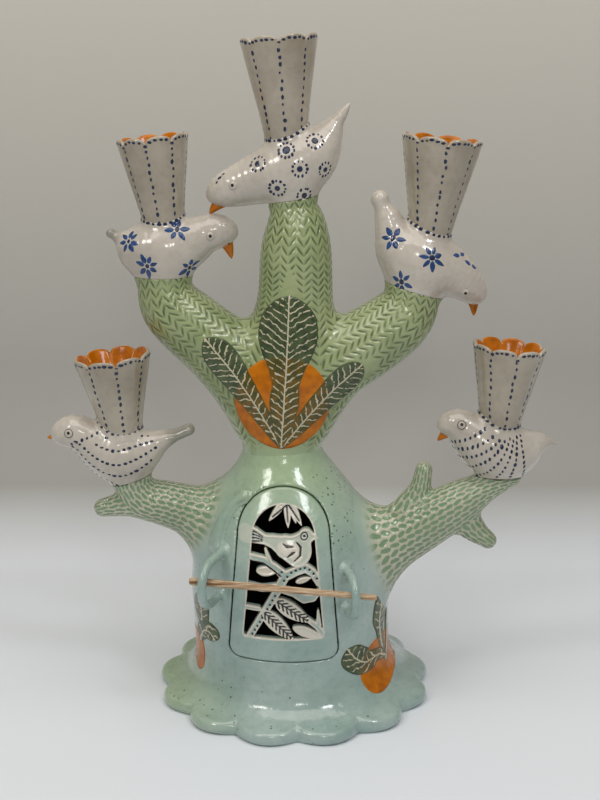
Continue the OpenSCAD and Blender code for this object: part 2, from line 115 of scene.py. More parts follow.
# Each bird: anchor, depth, seat [x, z, tilt], cup [x, z, lean, height, rim radius], body and tail
# stations, beak [x, z, angle, length, radius], eye [x, z] and the kind of painting it carries.
BIRDS = {
    "lower_left": (LEFT_ROOT, -20, (-49.3, 36, -17), (-52.8, 71.3, -5.9, 54.5, 27.3),
        [[-98, 68, 2.5], [-94.5, 69, 8.5], [-86.5, 70, 12], [-77.5, 66, 13], [-66.5, 58, 17],
         [-54.5, 53, 20], [-42.5, 55, 16.5], [-32.5, 60, 10.5], [-24.5, 64.5, 6, 7]],
        [[-34, 60, 5.5, 6.5], [-18, 66.5, 4.4, 7], [-6.5, 71.5, 4.2, 6.5]],
        (-94.5, 67.3, 180, 11, 4), (-88.3, 72), "lines"),
    "lower_right": (RIGHT_ROOT, -20, (75, 61, 0), (80.3, 97.7, 4.9, 57.5, 25.3),
        [[41.8, 96.5, 2.5], [44.3, 97.5, 7.5], [51.3, 97.7, 11], [59.3, 91.5, 14.5],
         [68.3, 84.5, 18.5], [78.3, 79.5, 20.5], [89.3, 78, 18], [98.3, 80.5, 13], [105.3, 84.5, 7.5]],
        [[98, 82, 7.5, 7.5], [108, 85.2, 5.2, 6], [115, 85, 3, 4], [120.5, 83.8, 1.2, 1.6]],
        (45, 92.6, 212, 10, 4.2), (52.6, 100.3), "rings"),
    "top": (WAIST, 0, (10.8, 174, -9), (4, 212.2, -4.2, 69, 26.8),
        [[-46, 176.3, 2.5], [-43, 177.3, 8], [-35, 180.3, 12.5], [-23, 184.3, 15.5],
         [-9, 188.8, 18.8], [5, 193.3, 22], [17, 199.3, 20.5], [26, 207.3, 15], [32, 215.3, 9.5]],
        [[28, 210.5, 8.5], [36, 222.5, 5.5], [42, 230.5, 3.4], [46, 236, 1.2]],
        (-39.5, 173, 217, 13, 5.2), (-31.8, 183.6), "circles"),
    "upper_left": (WAIST, 0, (-79, 121, 0), (-79.8, 155.8, -6.4, 60.5, 24.7),
        [[-34, 151.5, 2.5], [-37, 151.3, 8], [-45, 151.3, 12.3], [-54, 148.3, 13.5],
         [-65, 142.8, 17.5], [-79, 138.3, 21.5], [-91, 137.8, 19.5], [-100, 140.3, 13], [-106, 143.3, 6]],
        [[-98, 140, 7, 7], [-109, 145.8, 3.2, 5], [-116.5, 150, 3.4, 4.5]],
        (-37.5, 144, -63, 12, 4.4), (-47.5, 149.5), "flowers"),
    "upper_right": (WAIST, 0, (91.5, 111.5, 17), (102, 146.8, 6.2, 69, 27.9),
        [[136, 105.8, 3], [134, 109.3, 9], [127, 116.3, 13], [117, 123.3, 17], [105, 128.3, 21],
         [93, 132.3, 23], [83, 139.3, 18], [77, 149.3, 12], [74, 159.3, 8.5]],
        [[76, 153, 8.5], [70.5, 166, 5.8], [67.8, 173, 6.4]],
        (133, 106.5, -75, 14, 4.6), (126.6, 110.6), "flowers"),
}

# ---- Fields: the signed distance to a shape, in mm ------------------------------------------


def join(a, b, k):
    """Union of two fields, rounded over a width of k."""
    h = np.clip(0.5 + 0.5 * (b - a) / k, 0, 1)
    return b * (1 - h) + a * h - k * h * (1 - h)


def cut(a, b, k=1.0):
    """The part of a inside b, with its edges rounded over k."""
    return -join(-a, -b, k)


def limb(x, y, z, path):
    """Distance to a chain of tapered round segments, squashed in depth to its half depth."""
    best = np.full(np.shape(x), 1e3, dtype=np.float32)
    for a, b in zip(path[:-1], path[1:]):
        dx, dz = b[0] - a[0], b[2] - a[2]
        t = np.clip(((x - a[0]) * dx + (z - a[2]) * dz) / max(dx * dx + dz * dz, 1e-6), 0, 1)
        c = [a[k] + t * (b[k] - a[k]) for k in range(5)]
        d = np.sqrt((x - c[0]) ** 2 + ((y - c[1]) * c[3] / c[4]) ** 2 + (z - c[2]) ** 2) - c[3]
        best = np.minimum(best, d)
    return best


def limb_place(x, y, z, path):
    """Distance and angle round the nearest segment of a limb, and length along it: the segments'
    lengths averaged with weights that fall off by e every 3 mm of distance, so that it runs evenly
    round a bend. Past either end the length runs on."""
    best = np.full(np.shape(x), 1e3)
    angle = np.zeros(np.shape(x))
    along = np.zeros(np.shape(x))
    weight = np.full(np.shape(x), 1e-30)
    length = 0.0
    for k, (a, b) in enumerate(zip(path[:-1], path[1:])):
        dx, dz = b[0] - a[0], b[2] - a[2]
        step = math.hypot(dx, dz)
        t = ((x - a[0]) * dx + (z - a[2]) * dz) / max(step * step, 1e-6)
        run = np.clip(t, -8 if k == 0 else 0, 8 if k == len(path) - 2 else 1)
        t = np.clip(t, 0, 1)
        c = [a[n] + t * (b[n] - a[n]) for n in range(5)]
        d = np.sqrt((x - c[0]) ** 2 + ((y - c[1]) * c[3] / c[4]) ** 2 + (z - c[2]) ** 2) - c[3]
        near = d < best
        side = ((x - c[0]) * dz - (z - c[2]) * dx) / max(step, 1e-6)
        best = np.where(near, d, best)
        angle = np.where(near, np.arctan2(side, -(y - c[1])), angle)
        share = np.exp(-np.clip(d, -60, 60) / 3)
        along += share * (length + run * step)
        weight += share
        length += step
    return best, angle, along / weight


def leaning(x, z):
    """Places beside and along the trunk's leaning axis."""
    return x * math.cos(LEAN) + z * math.sin(LEAN), z * math.cos(LEAN) - x * math.sin(LEAN)


def trunk_field(x, y, z):
    """Distance to the bell: radius less the outline's radius, evened out by the outline's slope."""
    beside, along = leaning(x, z)
    slope = (trunk_radius(along + 1) - trunk_radius(along - 1)) / 2
    d = (np.sqrt(beside ** 2 + y ** 2) - trunk_radius(along)) / np.sqrt(1 + slope ** 2)
    return np.maximum(d, along - TRUNK_H)


def foot_field(x, y, z):
    """Distance to the scalloped plate: the union of its round lobes, with fully rounded edges."""
    ring = FOOT_R - LOBE_R
    turn = 2 * math.pi / FOOT_LOBES
    phase = math.radians(-102.3)
    a = (np.arctan2(y, x) - phase + turn / 2) % turn - turn / 2
    r = np.sqrt(x ** 2 + y ** 2)
    lobe = np.sqrt((r * np.cos(a) - ring) ** 2 + (r * np.sin(a)) ** 2) - LOBE_R
    flat = join(np.where(r * np.cos(a) < ring, r - ring - LOBE_R * 0.8, lobe), r - ring - 8, 3)
    rise = np.abs(z - FOOT_T / 2) - FOOT_T / 2
    soft = 4.2
    return (np.minimum(np.maximum(flat + soft, rise + soft), 0)
            + np.hypot(np.maximum(flat + soft, 0), np.maximum(rise + soft, 0)) - soft)


def arch_field(x, z, half, arch, low, corner):
    """Distance to the arch: a round head over sides that spread to the foot, with rounded corners."""
    u = np.abs(x - DOOR_X)
    spread = (half - arch) / (DOOR_SPRING - low - corner)
    side = (u - (arch + spread * (DOOR_SPRING - z))) / math.hypot(1, spread)
    side = np.where(z > DOOR_SPRING, np.hypot(u, z - DOOR_SPRING) - arch, side)
    foot = low - z
    return (np.minimum(np.maximum(side + corner, foot + corner), 0)
            + np.hypot(np.maximum(side + corner, 0), np.maximum(foot + corner, 0)) - corner)


def door_arch(x, z, grow=0.0):
    """Distance to the door's outline, grown by a gap."""
    return arch_field(x, z, DOOR_HALF, DOOR_ARCH, DOOR_LOW, 8) - grow


def window_arch(x, z):
    """Distance to the outline of the door's window."""
    return arch_field(x, z, DOOR_HALF - 10, DOOR_ARCH - 10, DOOR_LOW + 17, 2)


def crown_field(x, y, z):
    """The three limbs, joined with soft crotches."""
    sides = np.minimum(limb(x, y, z, LEFT_LIMB), limb(x, y, z, RIGHT_LIMB))
    return join(limb(x, y, z, CENTRE_LIMB), sides, 13)


def seat_plane(name, x, z):
    """Height above the plane on which a bird stands."""
    at, _, seat = BIRDS[name][:3]
    tilt = math.radians(seat[2])
    return (x - at[0] - seat[0]) * math.sin(tilt) + (z - at[1] - seat[1]) * math.cos(tilt)


PATHS = {n: (stations(b[0], b[4], 3), stations(b[0], b[5], 3)) for n, b in BIRDS.items()}
for _name, _bird in BIRDS.items():
    for _path in PATHS[_name]:
        _path[:, 1] = _bird[1]


def bird_field(name, x, y, z):
    """A bird's body, with its tail joined on softly."""
    body, tail = PATHS[name]
    return join(limb(x, y, z, body), limb(x, y, z, tail), 6)


def mount_field(name, x, y, z):
    """The limb that a bird stands on."""
    if name == "lower_left":
        return limb(x, y, z, LEFT_BOUGH)
    if name == "lower_right":
        return limb(x, y, z, RIGHT_BOUGH)
    return limb(x, y, z, {"top": CENTRE_LIMB, "upper_left": LEFT_LIMB, "upper_right": RIGHT_LIMB}[name])


# ---- Meshes ---------------------------------------------------------------------------------


def in_blocks(field, axes, step):
    """The field on a grid. Blocks of cells far from the surface keep one value for the block."""
    size = 10
    values = np.empty([len(a) for a in axes], dtype=np.float32)
    for i in range(0, len(axes[0]), size):
        for j in range(0, len(axes[1]), size):
            ks = [axes[2][k:k + size] for k in range(0, len(axes[2]), size)]
            mid = [axes[0][i:i + size].mean(), axes[1][j:j + size].mean()]
            centres = np.array([k.mean() for k in ks])
            rough = field(np.full(len(ks), mid[0]), np.full(len(ks), mid[1]), centres)
            for n, k in enumerate(ks):
                where = (slice(i, i + size), slice(j, j + size), slice(n * size, n * size + len(k)))
                if abs(rough[n]) > size * step * 1.3:
                    values[where] = rough[n]
                else:
                    grid = np.meshgrid(axes[0][i:i + size], axes[1][j:j + size], k, indexing="ij")
                    values[where] = field(*grid)
    return values


def skin(field, low, high, step, rounds=3):
    """Surface nets: one vertex in each grid cell that the surface crosses, at the mean of its edge
    crossings, then drawn onto the surface along the field's slope. Returns vertices and quads."""
    axes = [np.arange(a, b + step, step) for a, b in zip(low, high)]
    f = in_blocks(field, axes, step)
    for axis in range(3):
        for end in (0, -1):
            face = np.moveaxis(f, axis, 0)
            face[end] = np.maximum(face[end], 0.5 * step)
    inside = f < 0
    corners = [(a, b, c) for a in (0, 1) for b in (0, 1) for c in (0, 1)]
    n = np.array(f.shape) - 1
    count = sum(inside[a:a + n[0], b:b + n[1], c:c + n[2]].astype(np.int8) for a, b, c in corners)
    cell = np.argwhere((count > 0) & (count < 8))
    ids = np.full(n, -1)
    ids[tuple(cell.T)] = np.arange(len(cell))
    total = np.zeros((len(cell), 3))
    hits = np.zeros((len(cell), 1))
    for a in corners:
        for axis in range(3):
            if a[axis]:
                continue
            b = list(a)
            b[axis] = 1
            fa = f[tuple((cell + a).T)]
            fb = f[tuple((cell + b).T)]
            hit = ((fa < 0) != (fb < 0))[:, None]
            t = (fa / np.where(fa == fb, 1, fa - fb))[:, None]
            total += np.where(hit, np.array(a) + t * (np.array(b) - np.array(a)), 0)
            hits += hit
    points = np.array(low) + (cell + total / hits) * step
    quads = []
    for axis in range(3):
        b, c = (axis + 1) % 3, (axis + 2) % 3
        first = np.take(inside, range(n[axis]), axis)
        second = np.take(inside, range(1, n[axis] + 1), axis)
        edge = np.argwhere(first != second)
        edge = edge[(edge[:, b] > 0) & (edge[:, c] > 0) & (edge[:, b] < n[b]) & (edge[:, c] < n[c])]
        back_b, back_c = np.eye(3, dtype=int)[b], np.eye(3, dtype=int)[c]
        loop = [ids[tuple((edge - s).T)] for s in (back_b + back_c, back_c, 0 * back_b, back_b)]
        quad = np.stack(loop, 1)
        flip = ~first[tuple(edge.T)]
        quad[flip] = quad[flip][:, ::-1]
        quads.append(quad)
    quads = np.vstack(quads)
    for _ in range(rounds):
        value = field(*points.T)
        slope = gradient(field, points, 0.25 * step)
        size = np.maximum((slope ** 2).sum(1), 0.25)
        points -= (np.clip(value / size, -step, step))[:, None] * slope
    return points, quads[(quads >= 0).all(1)]


def gradient(field, points, eps):
    """Slope of a field at points, by differences."""
    return np.stack([(field(*(points + e).T) - field(*(points - e).T)) / (2 * eps)
                     for e in np.eye(3) * eps], 1)


def make_mesh(name, points, faces, materials, values=None, pick=None, soft=True):
    """A mesh object at the origin from points in mm and one or more arrays of faces. values are
    attributes on the points, and pick is each face's material."""
    name = name + "_glazed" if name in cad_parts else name
    faces = [np.asarray(f) for f in (faces if isinstance(faces, list) else [faces])]
    sizes = np.concatenate([np.full(len(f), f.shape[1]) for f in faces])
    corners = np.concatenate([f.ravel() for f in faces]).astype(np.int32)
    mesh = bpy.data.meshes.new(name)
    mesh.vertices.add(len(points))
    mesh.vertices.foreach_set("co", (np.asarray(points) / 1000).astype(np.float32).ravel())
    mesh.loops.add(len(corners))
    mesh.loops.foreach_set("vertex_index", corners)
    mesh.polygons.add(len(sizes))
    mesh.polygons.foreach_set("loop_start", (np.cumsum(sizes) - sizes).astype(np.int32))
    for material in materials if isinstance(materials, (list, tuple)) else [materials]:
        mesh.materials.append(material)
    if pick is not None:
        mesh.polygons.foreach_set("material_index", np.asarray(pick, dtype=np.int32))
    mesh.polygons.foreach_set("use_smooth", np.full(len(sizes), soft))
    for key, data in (values or {}).items():
        attribute = mesh.attributes.new(key, "FLOAT", "POINT")
        attribute.data.foreach_set("value", np.asarray(data, dtype=np.float32).ravel())
    mesh.update(calc_edges=True)
    mesh.validate()
    piece = bpy.data.objects.new(name, mesh)
    bpy.context.scene.collection.objects.link(piece)
    return piece


def keep(piece, body, slot, *nodes):
    """The piece rides on a body and stands for CAD nodes; slot is not used."""
    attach(piece, body)
    if nodes:
        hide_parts(*nodes)
    return piece


def grid_faces(rows, columns, closed=True, start=0):
    """Quads of a grid of rows of points; closed joins the last column to the first."""
    i, j = np.meshgrid(np.arange(rows - 1), np.arange(columns if closed else columns - 1), indexing="ij")
    k = (j + 1) % columns
    quad = np.stack([i * columns + j, i * columns + k, (i + 1) * columns + k, (i + 1) * columns + j], -1)
    return quad.reshape(-1, 4) + start


def closed_faces(rows, columns):
    """Faces of a closed surface whose points are a pole, rows rings of points and a second pole."""
    k = np.arange(columns)
    n = (k + 1) % columns
    last = 1 + (rows - 1) * columns
    foot = np.stack([0 * k, 1 + n, 1 + k], 1)
    head = np.stack([last + k, last + n, 0 * k + last + columns], 1)
    return [grid_faces(rows, columns, start=1), foot, head]


def cast(field, x, z, start=-130.0, stop=0.0):
    """Where lines along Y from start to stop first meet a surface, by steps of the field's distance.
    A line that passes beside the surface ends at stop, from where settle draws it in."""
    y = np.full(np.shape(x), float(start))
    way = 1.0 if stop > start else -1.0
    for _ in range(70):
        y = y + way * 0.8 * field(x, y, z)
        y = np.minimum(y, stop) if way > 0 else np.maximum(y, stop)
    return np.stack([x, y, z], -1)


def settle(field, points, rounds=5):
    """Points drawn straight onto a surface, and the surface's normals there."""
    p = np.array(points, dtype=float)
    for _ in range(rounds):
        g = gradient(field, p, 0.2)
        p -= (field(*p.T) / np.maximum((g ** 2).sum(1), 0.2))[:, None] * g
    g = gradient(field, p, 0.5)
    return p, g / np.maximum(np.linalg.norm(g, axis=1, keepdims=True), 1e-6)


def across(normals, hint=(0, 0, 1.0)):
    """Two directions along a surface: one square to the hint, and one as near it as it can be."""
    first = np.cross(np.broadcast_to(hint, normals.shape), normals)
    first /= np.maximum(np.linalg.norm(first, axis=1, keepdims=True), 1e-6)
    return first, np.cross(normals, first)


def thin_skin(points, normals, rows, columns, lift, sink=0.7):
    """A closed skin over a grid of places on a surface: raised by lift inside and level at its edge,
    with a copy of itself under the surface."""
    i, j = np.indices((rows, columns)).reshape(2, -1)
    inner = (i > 0) & (i < rows - 1) & (j > 0) & (j < columns - 1)
    top = points + normals * np.where(inner, lift, 0.02)[:, None]
    face = grid_faces(rows, columns, closed=False)
    edge = np.concatenate([np.arange(columns - 1), columns - 1 + columns * np.arange(rows - 1),
                           rows * columns - 1 - np.arange(columns - 1),
                           columns * (rows - 1) - columns * np.arange(rows - 1)])
    after = np.roll(edge, -1)
    count = rows * columns
    sides = np.stack([after, edge, edge + count, after + count], 1)
    a, b, c = (points[face[:, k]] for k in (0, 1, 2))
    if (np.cross(b - a, c - a) * normals[face[:, 0]]).sum() < 0:
        face, sides = face[:, ::-1], sides[:, ::-1]
    faces = np.vstack([face, face[:, ::-1] + count, sides])
    return np.vstack([top, points - normals * sink]), faces


def gather(parts):
    """Many small (points, faces) sets as one."""
    start = np.cumsum([0] + [len(p) for p, _ in parts[:-1]])
    return np.vstack([p for p, _ in parts]), np.vstack([f + k for (_, f), k in zip(parts, start)])


def dots(centres, normals, sizes, hint=(0, 0, 1.0), lift=0.16):
    """Brush dots as closed lenses: a raised middle, a shoulder, an edge level with the surface and a
    point below it. sizes are the half widths square to the hint and along it."""
    sides = 8
    turn = np.arange(sides) * 2 * math.pi / sides
    first, second = across(normals, hint)
    ring = (np.cos(turn)[:, None] * (first * sizes[:, :1])[:, None]
            + np.sin(turn)[:, None] * (second * sizes[:, 1:])[:, None])
    up, mid = normals[:, None] * lift, centres[:, None]
    points = np.concatenate([mid + up, mid + ring * 0.66 + up * 0.85, mid + ring, mid - up * 3], 1)
    k = np.arange(sides)
    n = (k + 1) % sides
    one = np.vstack([np.stack([0 * k, 1 + k, 1 + n], 1), np.stack([1 + k, 9 + k, 9 + n], 1),
                     np.stack([1 + k, 9 + n, 1 + n], 1), np.stack([17 + 0 * k, 9 + n, 9 + k], 1)])
    faces = (one[None] + 18 * np.arange(len(centres))[:, None, None]).reshape(-1, 3)
    return points.reshape(-1, 3), faces


def brushed(count, across_mm, along_mm):
    """Half widths of dots as a loaded brush leaves them: some fat, some thin."""
    fat = rng.normal(1.22, 0.18, (count, 1)).clip(0.85, 1.7)
    return np.array([[across_mm, along_mm]]) * fat * rng.normal(1, 0.1, (count, 2)).clip(0.75, 1.3)


# ---- Materials ------------------------------------------------------------------------------


def srgb(code):
    """An sRGB hex colour as linear RGBA."""
    c = [int(code[i:i + 2], 16) / 255 for i in (0, 2, 4)]
    return [v / 12.92 if v <= 0.04045 else ((v + 0.055) / 1.055) ** 2.4 for v in c] + [1.0]


def add(tree, kind, inputs=None, **settings):
    """Adds a node with its settings; inputs that are sockets are linked, the others are set."""
    node = tree.nodes.new(kind)
    for key, value in settings.items():
        setattr(node, key, value)
    for key, value in (inputs or {}).items():
        if isinstance(value, bpy.types.NodeSocket):
            tree.links.new(value, node.inputs[key])
        else:
            node.inputs[key].default_value = value
    return node


def start_material(name):
    """A new material with its nodes and its shader."""
    material = bpy.data.materials.new(name)
    material.use_nodes = True
    tree = material.node_tree
    return material, tree, tree.nodes["Principled BSDF"]


def blend_colours(tree, factor, first, second, mode="MIX"):
    """Mixes two colours, each a socket or a value."""
    node = add(tree, "ShaderNodeMix", {"Factor": factor}, data_type="RGBA", blend_type=mode)
    for key, value in ((6, first), (7, second)):
        if isinstance(value, bpy.types.NodeSocket):
            tree.links.new(value, node.inputs[key])
        else:
            node.inputs[key].default_value = value
    return node.outputs[2]


def ramp(tree, value, low, high, to_low=0.0, to_high=1.0):
    """Maps a value from one range to another, held at the ends."""
    node = add(tree, "ShaderNodeMapRange", {"Value": value, "From Min": low, "From Max": high,
                                            "To Min": to_low, "To Max": to_high})
    return node.outputs["Result"]


def noise(tree, place, size_mm, detail=3.0, rough=0.5):
    """Soft noise with patches of a size in mm."""
    return add(tree, "ShaderNodeTexNoise", {"Vector": place, "Scale": 1000 / size_mm, "Detail": detail,
                                            "Roughness": rough}).outputs["Fac"]


def celadon(tree, place):
    """Celadon as it pools over the bell: blue-grey, paler where it runs thin, yellow-green where the
    attribute green says so."""
    pool = ramp(tree, noise(tree, place, 38, 2), 0.35, 0.65)
    colour = blend_colours(tree, pool, srgb("a5b8b2"), srgb("8fa6a0"))
    more = add(tree, "ShaderNodeAttribute", attribute_name="green").outputs["Fac"]
    return blend_colours(tree, more, colour, srgb("9fb48c"))


def glaze(name, base, pooled, rough=0.12, ripple=0.3, speckle=None, groove=None, tint=None,
          pool_mm=38, shine=0.5):
    """Fired clear or coloured glaze over clay: a glossy coat with soft ripples, and colour that is
    deeper where the glaze pools. base None is the bell's own celadon. groove is an attribute that is
    1 in a pressed mark. tint is a second colour, None for celadon, and the attribute that mixes it in."""
    material, tree, shader = start_material(name)
    place = add(tree, "ShaderNodeTexCoord").outputs["Object"]
    if base:
        pool = ramp(tree, noise(tree, place, pool_mm, 2), 0.35, 0.65)
        colour = blend_colours(tree, pool, srgb(base), srgb(pooled))
    else:
        colour = celadon(tree, place)
    fine = noise(tree, place, 5, 4, 0.6)
    colour = blend_colours(tree, ramp(tree, fine, 0.45, 0.75, 0, 0.2), colour, srgb(pooled), "MULTIPLY")
    height = ramp(tree, noise(tree, place, 7, 2), 0, 1)
    if tint:
        mix = add(tree, "ShaderNodeAttribute", attribute_name=tint[1]).outputs["Fac"]
        second = srgb(tint[0]) if tint[0] else celadon(tree, place)
        colour = blend_colours(tree, mix, colour, second)
    if groove:
        mark = add(tree, "ShaderNodeAttribute", attribute_name="groove").outputs["Fac"]
        colour = blend_colours(tree, ramp(tree, mark, 0.25, 0.75), colour, srgb(groove))
    if speckle:
        cells = add(tree, "ShaderNodeTexVoronoi", {"Vector": place, "Scale": 1000 / 3.2, "Randomness": 1.0})
        chance = add(tree, "ShaderNodeSeparateColor", {"Color": cells.outputs["Color"]})
        spread = add(tree, "ShaderNodeAttribute", attribute_name="speckle").outputs["Fac"]
        kept = add(tree, "ShaderNodeMath", {0: chance.outputs["Red"], 1: spread}, operation="LESS_THAN")
        size = ramp(tree, chance.outputs["Green"], 0, 1, 0.1, 0.3)
        dot = add(tree, "ShaderNodeMath", {0: cells.outputs["Distance"], 1: size}, operation="LESS_THAN")
        both = add(tree, "ShaderNodeMath", {0: kept.outputs[0], 1: dot.outputs[0]}, operation="MULTIPLY")
        soft = add(tree, "ShaderNodeMath", {0: both.outputs[0], 1: 0.75}, operation="MULTIPLY")
        colour = blend_colours(tree, soft.outputs[0], colour, srgb(speckle))
    tree.links.new(colour, shader.inputs["Base Color"])
    bump = add(tree, "ShaderNodeBump", {"Strength": ripple, "Distance": 0.0014, "Height": height})
    tree.links.new(bump.outputs["Normal"], shader.inputs["Normal"])
    tree.links.new(ramp(tree, fine, 0.3, 0.8, rough, rough + 0.12), shader.inputs["Roughness"])
    shader.inputs["IOR"].default_value = 1.5
    shader.inputs["Specular IOR Level"].default_value = shine
    shader.inputs["Coat Weight"].default_value = shine
    shader.inputs["Coat Roughness"].default_value = 0.05
    return material


# Celadon: blue-grey, glassy, with iron specks. Green: olive over pressed marks that hold it dark.
CELADON = glaze("celadon_glaze", None, "86a099", speckle="3f4a2c")
GREEN = glaze("green_glaze", "9faa7d", "8a9768", groove="53633a", tint=(None, "fade"))
# Buff lines between green leaf marks, on the branches.
BOUGH = glaze("leaf_marked_glaze", "bfbda7", "abac93", groove="75916f", tint=(None, "fade"))
# Cream slip under clear glaze: warm and even on the birds, darker and browner on the cups.
CREAM = glaze("cream_slip_glaze", "c3bbb0", "b0a89d", ripple=0.2, tint=("8b887d", "grey"))
CUP = glaze("cup_cream_slip_glaze", "ada494", "978d7c", ripple=0.2)
# Underglaze colours: saturated, with less shine, streaked by the brush.
ORANGE = glaze("orange_underglaze", "c47205", "a75c02", pool_mm=8, shine=0.2)
NAVY = glaze("cobalt_underglaze", "1f3052", "141f3c", pool_mm=6, shine=0.3)
DARK = glaze("black_underglaze", "1c1a1a", "121011", rough=0.3, pool_mm=6, shine=0.3)
BLUE = glaze("cobalt_wash_underglaze", "2b4f86", "1c3763", pool_mm=3, shine=0.3)
# The door: celadon with cream on the carved edges and black rubbed into the cut lines.
DOOR = glaze("carved_celadon_glaze", None, "86a099", groove="141617", tint=("cfcabd", "cream"), rough=0.16)
# Unglazed clay inside the chamber, dull, and painted nearly black as the chamber's shade.
CLAY_PAINTED_SHADE = glaze("bare_clay_painted_shade", "3c3631", "2c2825", rough=0.7, shine=0.1)


def leaf_glaze():
    """Dark green underglaze with the midrib and the side veins scratched through it to the clay."""
    material, tree, shader = start_material("leaf_green_underglaze")
    place = add(tree, "ShaderNodeTexCoord").outputs["Object"]
    tone = noise(tree, place, 4.5, 3)
    colour = blend_colours(tree, ramp(tree, tone, 0.35, 0.7), srgb("34412a"), srgb("515e3c"))
    over = add(tree, "ShaderNodeAttribute", attribute_name="over").outputs["Fac"]
    olive = blend_colours(tree, ramp(tree, tone, 0.4, 0.65), srgb("444418"), srgb("6e5208"))
    colour = blend_colours(tree, over, colour, olive)
    wander = ramp(tree, noise(tree, place, 5, 2), 0.2, 0.8, -0.3, 0.3)
    rib = add(tree, "ShaderNodeAttribute", attribute_name="rib").outputs["Fac"]
    shifted = add(tree, "ShaderNodeMath", {0: rib, 1: wander}, operation="ADD").outputs[0]
    far = add(tree, "ShaderNodeMath", {0: shifted}, operation="ABSOLUTE").outputs[0]
    middle = ramp(tree, far, 0.35, 0.6, 1, 0)
    vein = add(tree, "ShaderNodeAttribute", attribute_name="vein").outputs["Fac"]
    phase = add(tree, "ShaderNodeMath", {0: vein, 1: wander}, operation="ADD").outputs[0]
    part = add(tree, "ShaderNodeMath", {0: phase}, operation="FRACT").outputs[0]
    centred = add(tree, "ShaderNodeMath", {0: part, 1: 0.5}, operation="SUBTRACT").outputs[0]
    size = add(tree, "ShaderNodeMath", {0: centred}, operation="ABSOLUTE").outputs[0]
    side = ramp(tree, size, 0.07, 0.12, 1, 0)
    edge = add(tree, "ShaderNodeAttribute", attribute_name="edge").outputs["Fac"]
    inner = ramp(tree, edge, 0.9, 1.5)
    side = add(tree, "ShaderNodeMath", {0: side, 1: inner}, operation="MULTIPLY").outputs[0]
    scratch = ramp(tree, noise(tree, place, 2.2, 2), 0.36, 0.44)
    side = add(tree, "ShaderNodeMath", {0: side, 1: scratch}, operation="MULTIPLY").outputs[0]
    line = add(tree, "ShaderNodeMath", {0: side, 1: middle}, operation="MAXIMUM").outputs[0]
    colour = blend_colours(tree, line, colour, srgb("c3bba0"))
    tree.links.new(colour, shader.inputs["Base Color"])
    bump = add(tree, "ShaderNodeBump", {"Strength": 0.35, "Distance": 0.0008, "Height": line}, invert=True)
    tree.links.new(bump.outputs["Normal"], shader.inputs["Normal"])
    shader.inputs["Roughness"].default_value = 0.2
    shader.inputs["Specular IOR Level"].default_value = 0.3
    shader.inputs["Coat Weight"].default_value = 0.3
    shader.inputs["Coat Roughness"].default_value = 0.05
    return material


LEAF = leaf_glaze()


def wood():
    """Split stick: dry, matt, with long fibres along the stick and dark streaks in the splits."""
    material, tree, shader = start_material("raw_split_wood")
    place = add(tree, "ShaderNodeTexCoord").outputs["Object"]
    along = add(tree, "ShaderNodeMapping", {"Vector": place, "Rotation": (0, -BAR_SLOPE, 0),
                                            "Scale": (0.06, 1, 1)}).outputs["Vector"]
    grain = noise(tree, along, 1.1, 4, 0.65)
    split = noise(tree, along, 2.6, 2, 0.5)
    colour = blend_colours(tree, ramp(tree, grain, 0.38, 0.66), srgb("a2815f"), srgb("d9c2a4"))
    colour = blend_colours(tree, ramp(tree, split, 0.56, 0.68), colour, srgb("7a5636"))
    tree.links.new(colour, shader.inputs["Base Color"])
    bump = add(tree, "ShaderNodeBump", {"Strength": 0.7, "Distance": 0.0006, "Height": grain})
    tree.links.new(bump.outputs["Normal"], shader.inputs["Normal"])
    shader.inputs["Roughness"].default_value = 0.75
    return material


WOOD = wood()

# ---- Trunk and foot --------------------------------------------------------------------------


def tree_body(x, y, z):
    """Bell and foot plate with a soft flare between them, the hollow, and the rebated doorway."""
    bell = trunk_field(x, y, z)
    body = join(bell, foot_field(x, y, z), 10)
    beside, along = leaning(x, z)
    radius = np.minimum(trunk_radius(along), TRUNK_R) - WALL
    hollow = np.maximum(np.sqrt(beside ** 2 + y ** 2) - radius, np.maximum(FOOT_T - z, along - TRUNK_H + 8))
    body = np.maximum(body, -hollow)
    through = np.maximum(door_arch(x, z, -4), y)
    seat = np.maximum(np.maximum(door_arch(x, z, DOOR_GAP), y), -(bell + DOOR_T + 0.5))
    return np.maximum(cut(body, -np.minimum(through, seat), 1.2), -z)


def green_share(x, z):
    """How yellow-green the celadon is: on the bell's shoulder, up the waist and at the foot's left."""
    shoulder = np.clip((z - 105) / 65, 0, 1) * (0.7 + 0.2 * np.sin(x * 0.06 + 2))
    return shoulder + np.clip((-x - 30) / 60, 0, 1) * np.clip((46 - z) / 30, 0, 1) * 0.7


def make_trunk():
    """The bell and foot as one skin; faces inside the chamber are bare clay painted nearly black, as painted
    shade.
    """
    points, quads = skin(tree_body, (-104, -104, -4), (104, 104, 190), 1.5)
    x, y, z = points.T
    inner = (trunk_field(x, y, z) < -DOOR_T * 0.9) & (z > FOOT_T - 1)
    speckle = (0.03 + 0.85 * np.clip(1.15 - np.hypot((x - 32) / 22, (z - 150) / 30), 0, 1)
               + 0.25 * np.clip(1.1 - np.hypot((x - 38) / 26, (z - 125) / 40), 0, 1)
               + 0.12 * (z < 30) * (x < 20))
    # faces inside the chamber take the clay painted nearly black: painted shade
    dark = inner[quads].all(1)
    piece = make_mesh("trunk_and_foot", points, quads, [CELADON, CLAY_PAINTED_SHADE],
                      {"green": np.clip(green_share(x, z), 0, 1), "speckle": speckle}, dark)
    keep(piece, "tree", "celadon_glaze", "base_plate", "trunk_shell")


make_trunk()

# ---- Crown with its pressed herringbone marks --------------------------------------------------


